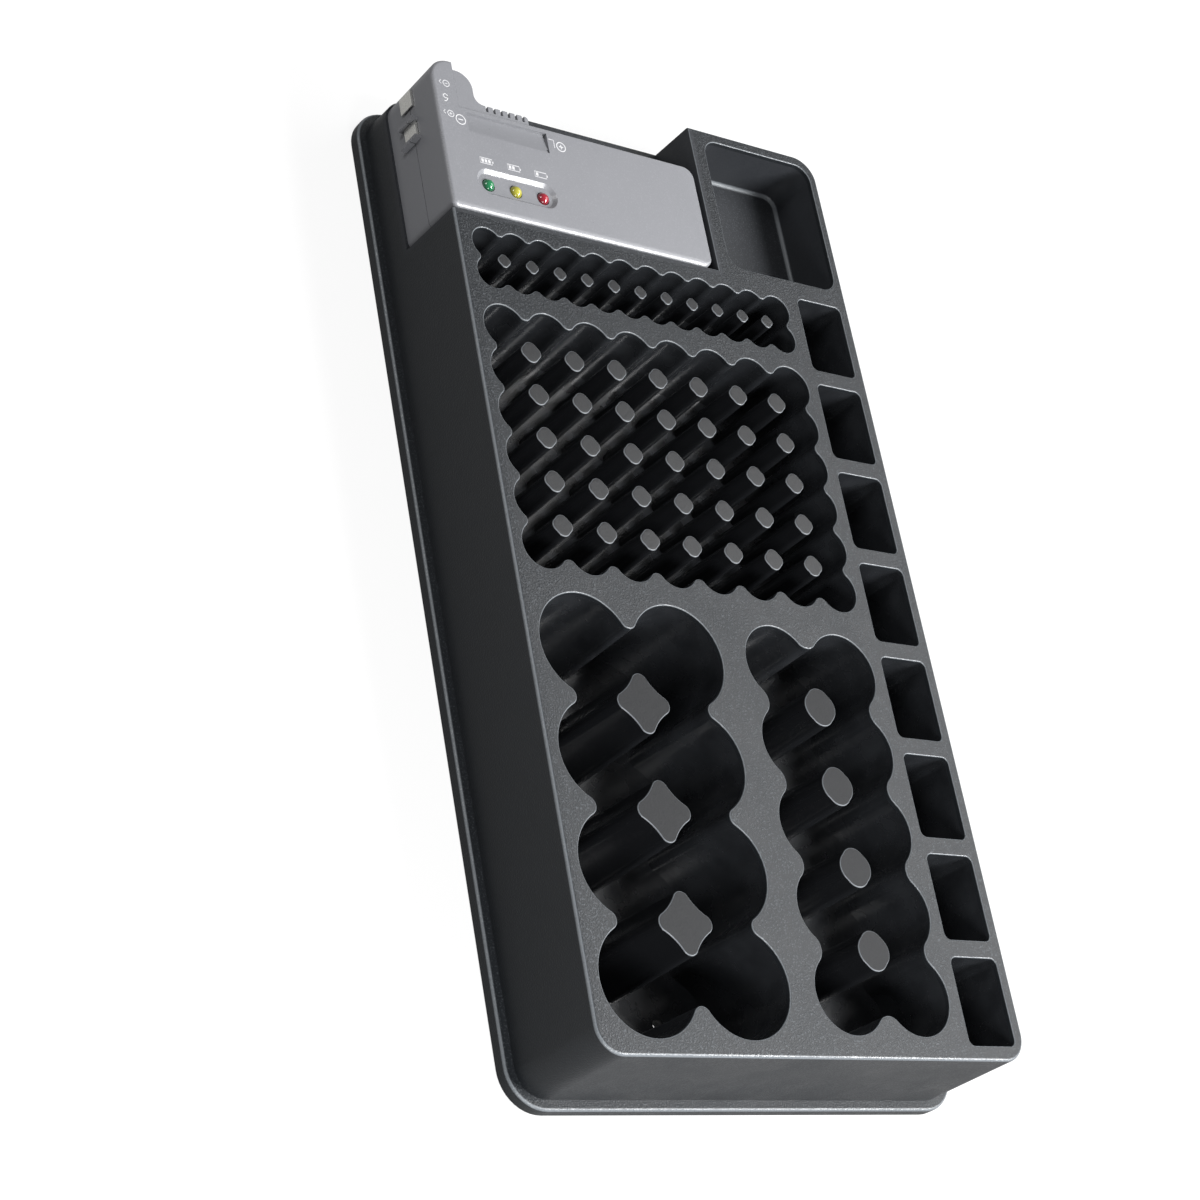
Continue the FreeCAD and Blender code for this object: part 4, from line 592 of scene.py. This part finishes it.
for sign in marks["largeSigns"]:
    polarity(*sign, marks["bold"])
for sign in marks["smallSigns"]:
    polarity(*sign, marks["fine"])
for x, y in marks["arrows"]:
    size = marks["arrowSize"]
    ribbon([(x + size, y + size), (x, y), (x + size, y - size)], marks["fine"])
ribbon(marks["bracket"], marks["fine"])
nineX, nineY = marks["nineCentre"]
ribbon([(nineX + marks["nineRadius"] * math.cos(math.radians(a)),
         nineY + marks["nineRadius"] * math.sin(math.radians(a)))
        for a in range(0, 360, marks["nineTurn"])], marks["line"], True)
ribbon(marks["nineTail"], marks["line"])
for x, bars in marks["charges"]:
    left, right = x - marks["chargeLeft"], x + marks["chargeRight"]
    low, high = marks["chargeLow"], marks["chargeHigh"]
    ribbon([(left, low), (right, low), (right, high), (left, high)], marks["fine"], True)
    capStart, capLow, capEnd, capHigh = marks["cap"]
    bar(right + capStart, capLow, right + capEnd, capHigh)
    for step in range(bars):
        start = left + marks["barInset"] + step * marks["barPitch"]
        bar(start, low + marks["barMargin"], start + marks["barWidth"], high - marks["barMargin"])

raised = bmesh.ops.extrude_face_region(markMesh, geom=markMesh.faces[:])
bmesh.ops.translate(markMesh, vec=(0, 0, marks["thickness"] * mm),
                    verts=[v for v in raised["geom"] if isinstance(v, bmesh.types.BMVert)])
bmesh.ops.recalc_face_normals(markMesh, faces=markMesh.faces[:])
mesh = bpy.data.meshes.new("tester_marks")
markMesh.to_mesh(mesh)
markMesh.free()
mesh.materials.append(padPrint("white pad print", printFinish))
testerMarks = bpy.data.objects.new("tester_marks", mesh)
scene.collection.objects.link(testerMarks)
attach(testerMarks, "tester")
print("tester marks")


# Soft lamps: a large one opposite the camera that the deck mirrors, and three that fill the sides
studio = {
    "mirror": {"place": (1.14, 0.26, 1.18), "target": (0, -0.05, 0.04), "width": 1.2,
               "length": 0.9, "power": 15},
    "rim": {"place": (0.8, -0.6, 0.92), "target": (0, -0.05, 0.04), "width": 0.3,
            "length": 0.7, "power": 38},
    "left": {"place": (-0.95, 0.56, 0.8), "target": (-0.05, 0.05, 0.04), "width": 0.3,
             "length": 0.5, "power": 5},
    "low": {"place": (-0.16, -0.47, 0.26), "target": (-0.06, -0.21, 0), "width": 0.15,
            "length": 0.15, "power": 1.9},
}
worldLight = {"onObject": 0.3, "inView": 1.0}


def softbox(name, place, target, width, length, power):
    light = bpy.data.lights.new(name, "AREA")
    light.shape = "RECTANGLE"
    light.size, light.size_y, light.energy = width, length, power
    lamp = bpy.data.objects.new(name, light)
    lamp.location = place
    lamp.rotation_euler = (Vector(target) - Vector(place)).to_track_quat("-Z", "Y").to_euler()
    scene.collection.objects.link(lamp)


def seenDirectly(tree):  # 1 where the camera looks straight at it or through clear plastic
    path = addNode(tree, "ShaderNodeLightPath")
    return addNode(tree, "ShaderNodeMath", {
        0: path.outputs["Is Camera Ray"], 1: path.outputs["Is Transmission Ray"]},
        operation="MAXIMUM").outputs[0]


for name, values in studio.items():
    softbox(name, **values)
world = bpy.data.worlds.new("studio")
world.use_nodes = True
scene.world = world
tree = world.node_tree
strength = addNode(tree, "ShaderNodeMapRange", {
    "Value": seenDirectly(tree), "From Min": 0, "From Max": 1,
    "To Min": worldLight["onObject"], "To Max": worldLight["inView"]}).outputs["Result"]
plug(tree, tree.nodes["Background"], {"Color": (1, 1, 1, 1), "Strength": strength})


# Floor: matt paper that photographs white and keeps the case's shadow
floorFinish = {"colour": "#6c6c6c", "glowCamera": 0.86, "glowGlossy": 0.2, "reach": 6.0}


def paleFloor(name, finish):
    material, tree, shader, place = newMaterial(name)
    tree.nodes.remove(shader)
    mirrored = addNode(tree, "ShaderNodeLightPath").outputs["Is Glossy Ray"]
    dim = addNode(tree, "ShaderNodeMapRange", {
        "Value": mirrored, "From Min": 0, "From Max": 1, "To Min": 0,
        "To Max": finish["glowGlossy"]}).outputs["Result"]
    bright = addNode(tree, "ShaderNodeMapRange", {
        "Value": seenDirectly(tree), "From Min": 0, "From Max": 1, "To Min": 0,
        "To Max": finish["glowCamera"]}).outputs["Result"]
    glowing = addNode(tree, "ShaderNodeMath", {0: dim, 1: bright}, operation="MAXIMUM").outputs[0]
    diffuse = addNode(tree, "ShaderNodeBsdfDiffuse", {"Color": linear(finish["colour"])})
    glow = addNode(tree, "ShaderNodeEmission", {"Color": (1, 1, 1, 1), "Strength": glowing})
    both = addNode(tree, "ShaderNodeAddShader", {0: diffuse.outputs[0], 1: glow.outputs[0]})
    plug(tree, tree.nodes["Material Output"], {"Surface": both.outputs[0]})
    return material


floorMesh = bpy.data.meshes.new("floor")
reach = floorFinish["reach"]
floorMesh.from_pydata([(-reach, -reach, 0), (reach, -reach, 0), (reach, reach, 0),
                       (-reach, reach, 0)], [], [(0, 1, 2, 3)])
floorMesh.materials.append(paleFloor("pale studio floor", floorFinish))
floor = bpy.data.objects.new("floor", floorMesh)
scene.collection.objects.link(floor)
print("lamps and floor")


# Camera: the photograph's place, roll and lens
view = {"place": (-0.54213, -0.36168, 0.62743), "right": (0.80169, -0.16777, 0.57371),
        "up": (-0.11383, 0.89939, 0.42207), "lens": 78.304, "sensor": 36, "clipStart": 0.01}
camera = bpy.data.objects.new("camera", bpy.data.cameras.new("camera"))
right, up = Vector(view["right"]).normalized(), Vector(view["up"])
up = (up - right * up.dot(right)).normalized()
turn = Matrix((right, up, right.cross(up))).transposed()
camera.matrix_world = Matrix.Translation(view["place"]) @ turn.to_4x4()
camera.data.lens = view["lens"]
camera.data.sensor_width = view["sensor"]
camera.data.clip_start = view["clipStart"]
scene.collection.objects.link(camera)
scene.camera = camera
print("camera")
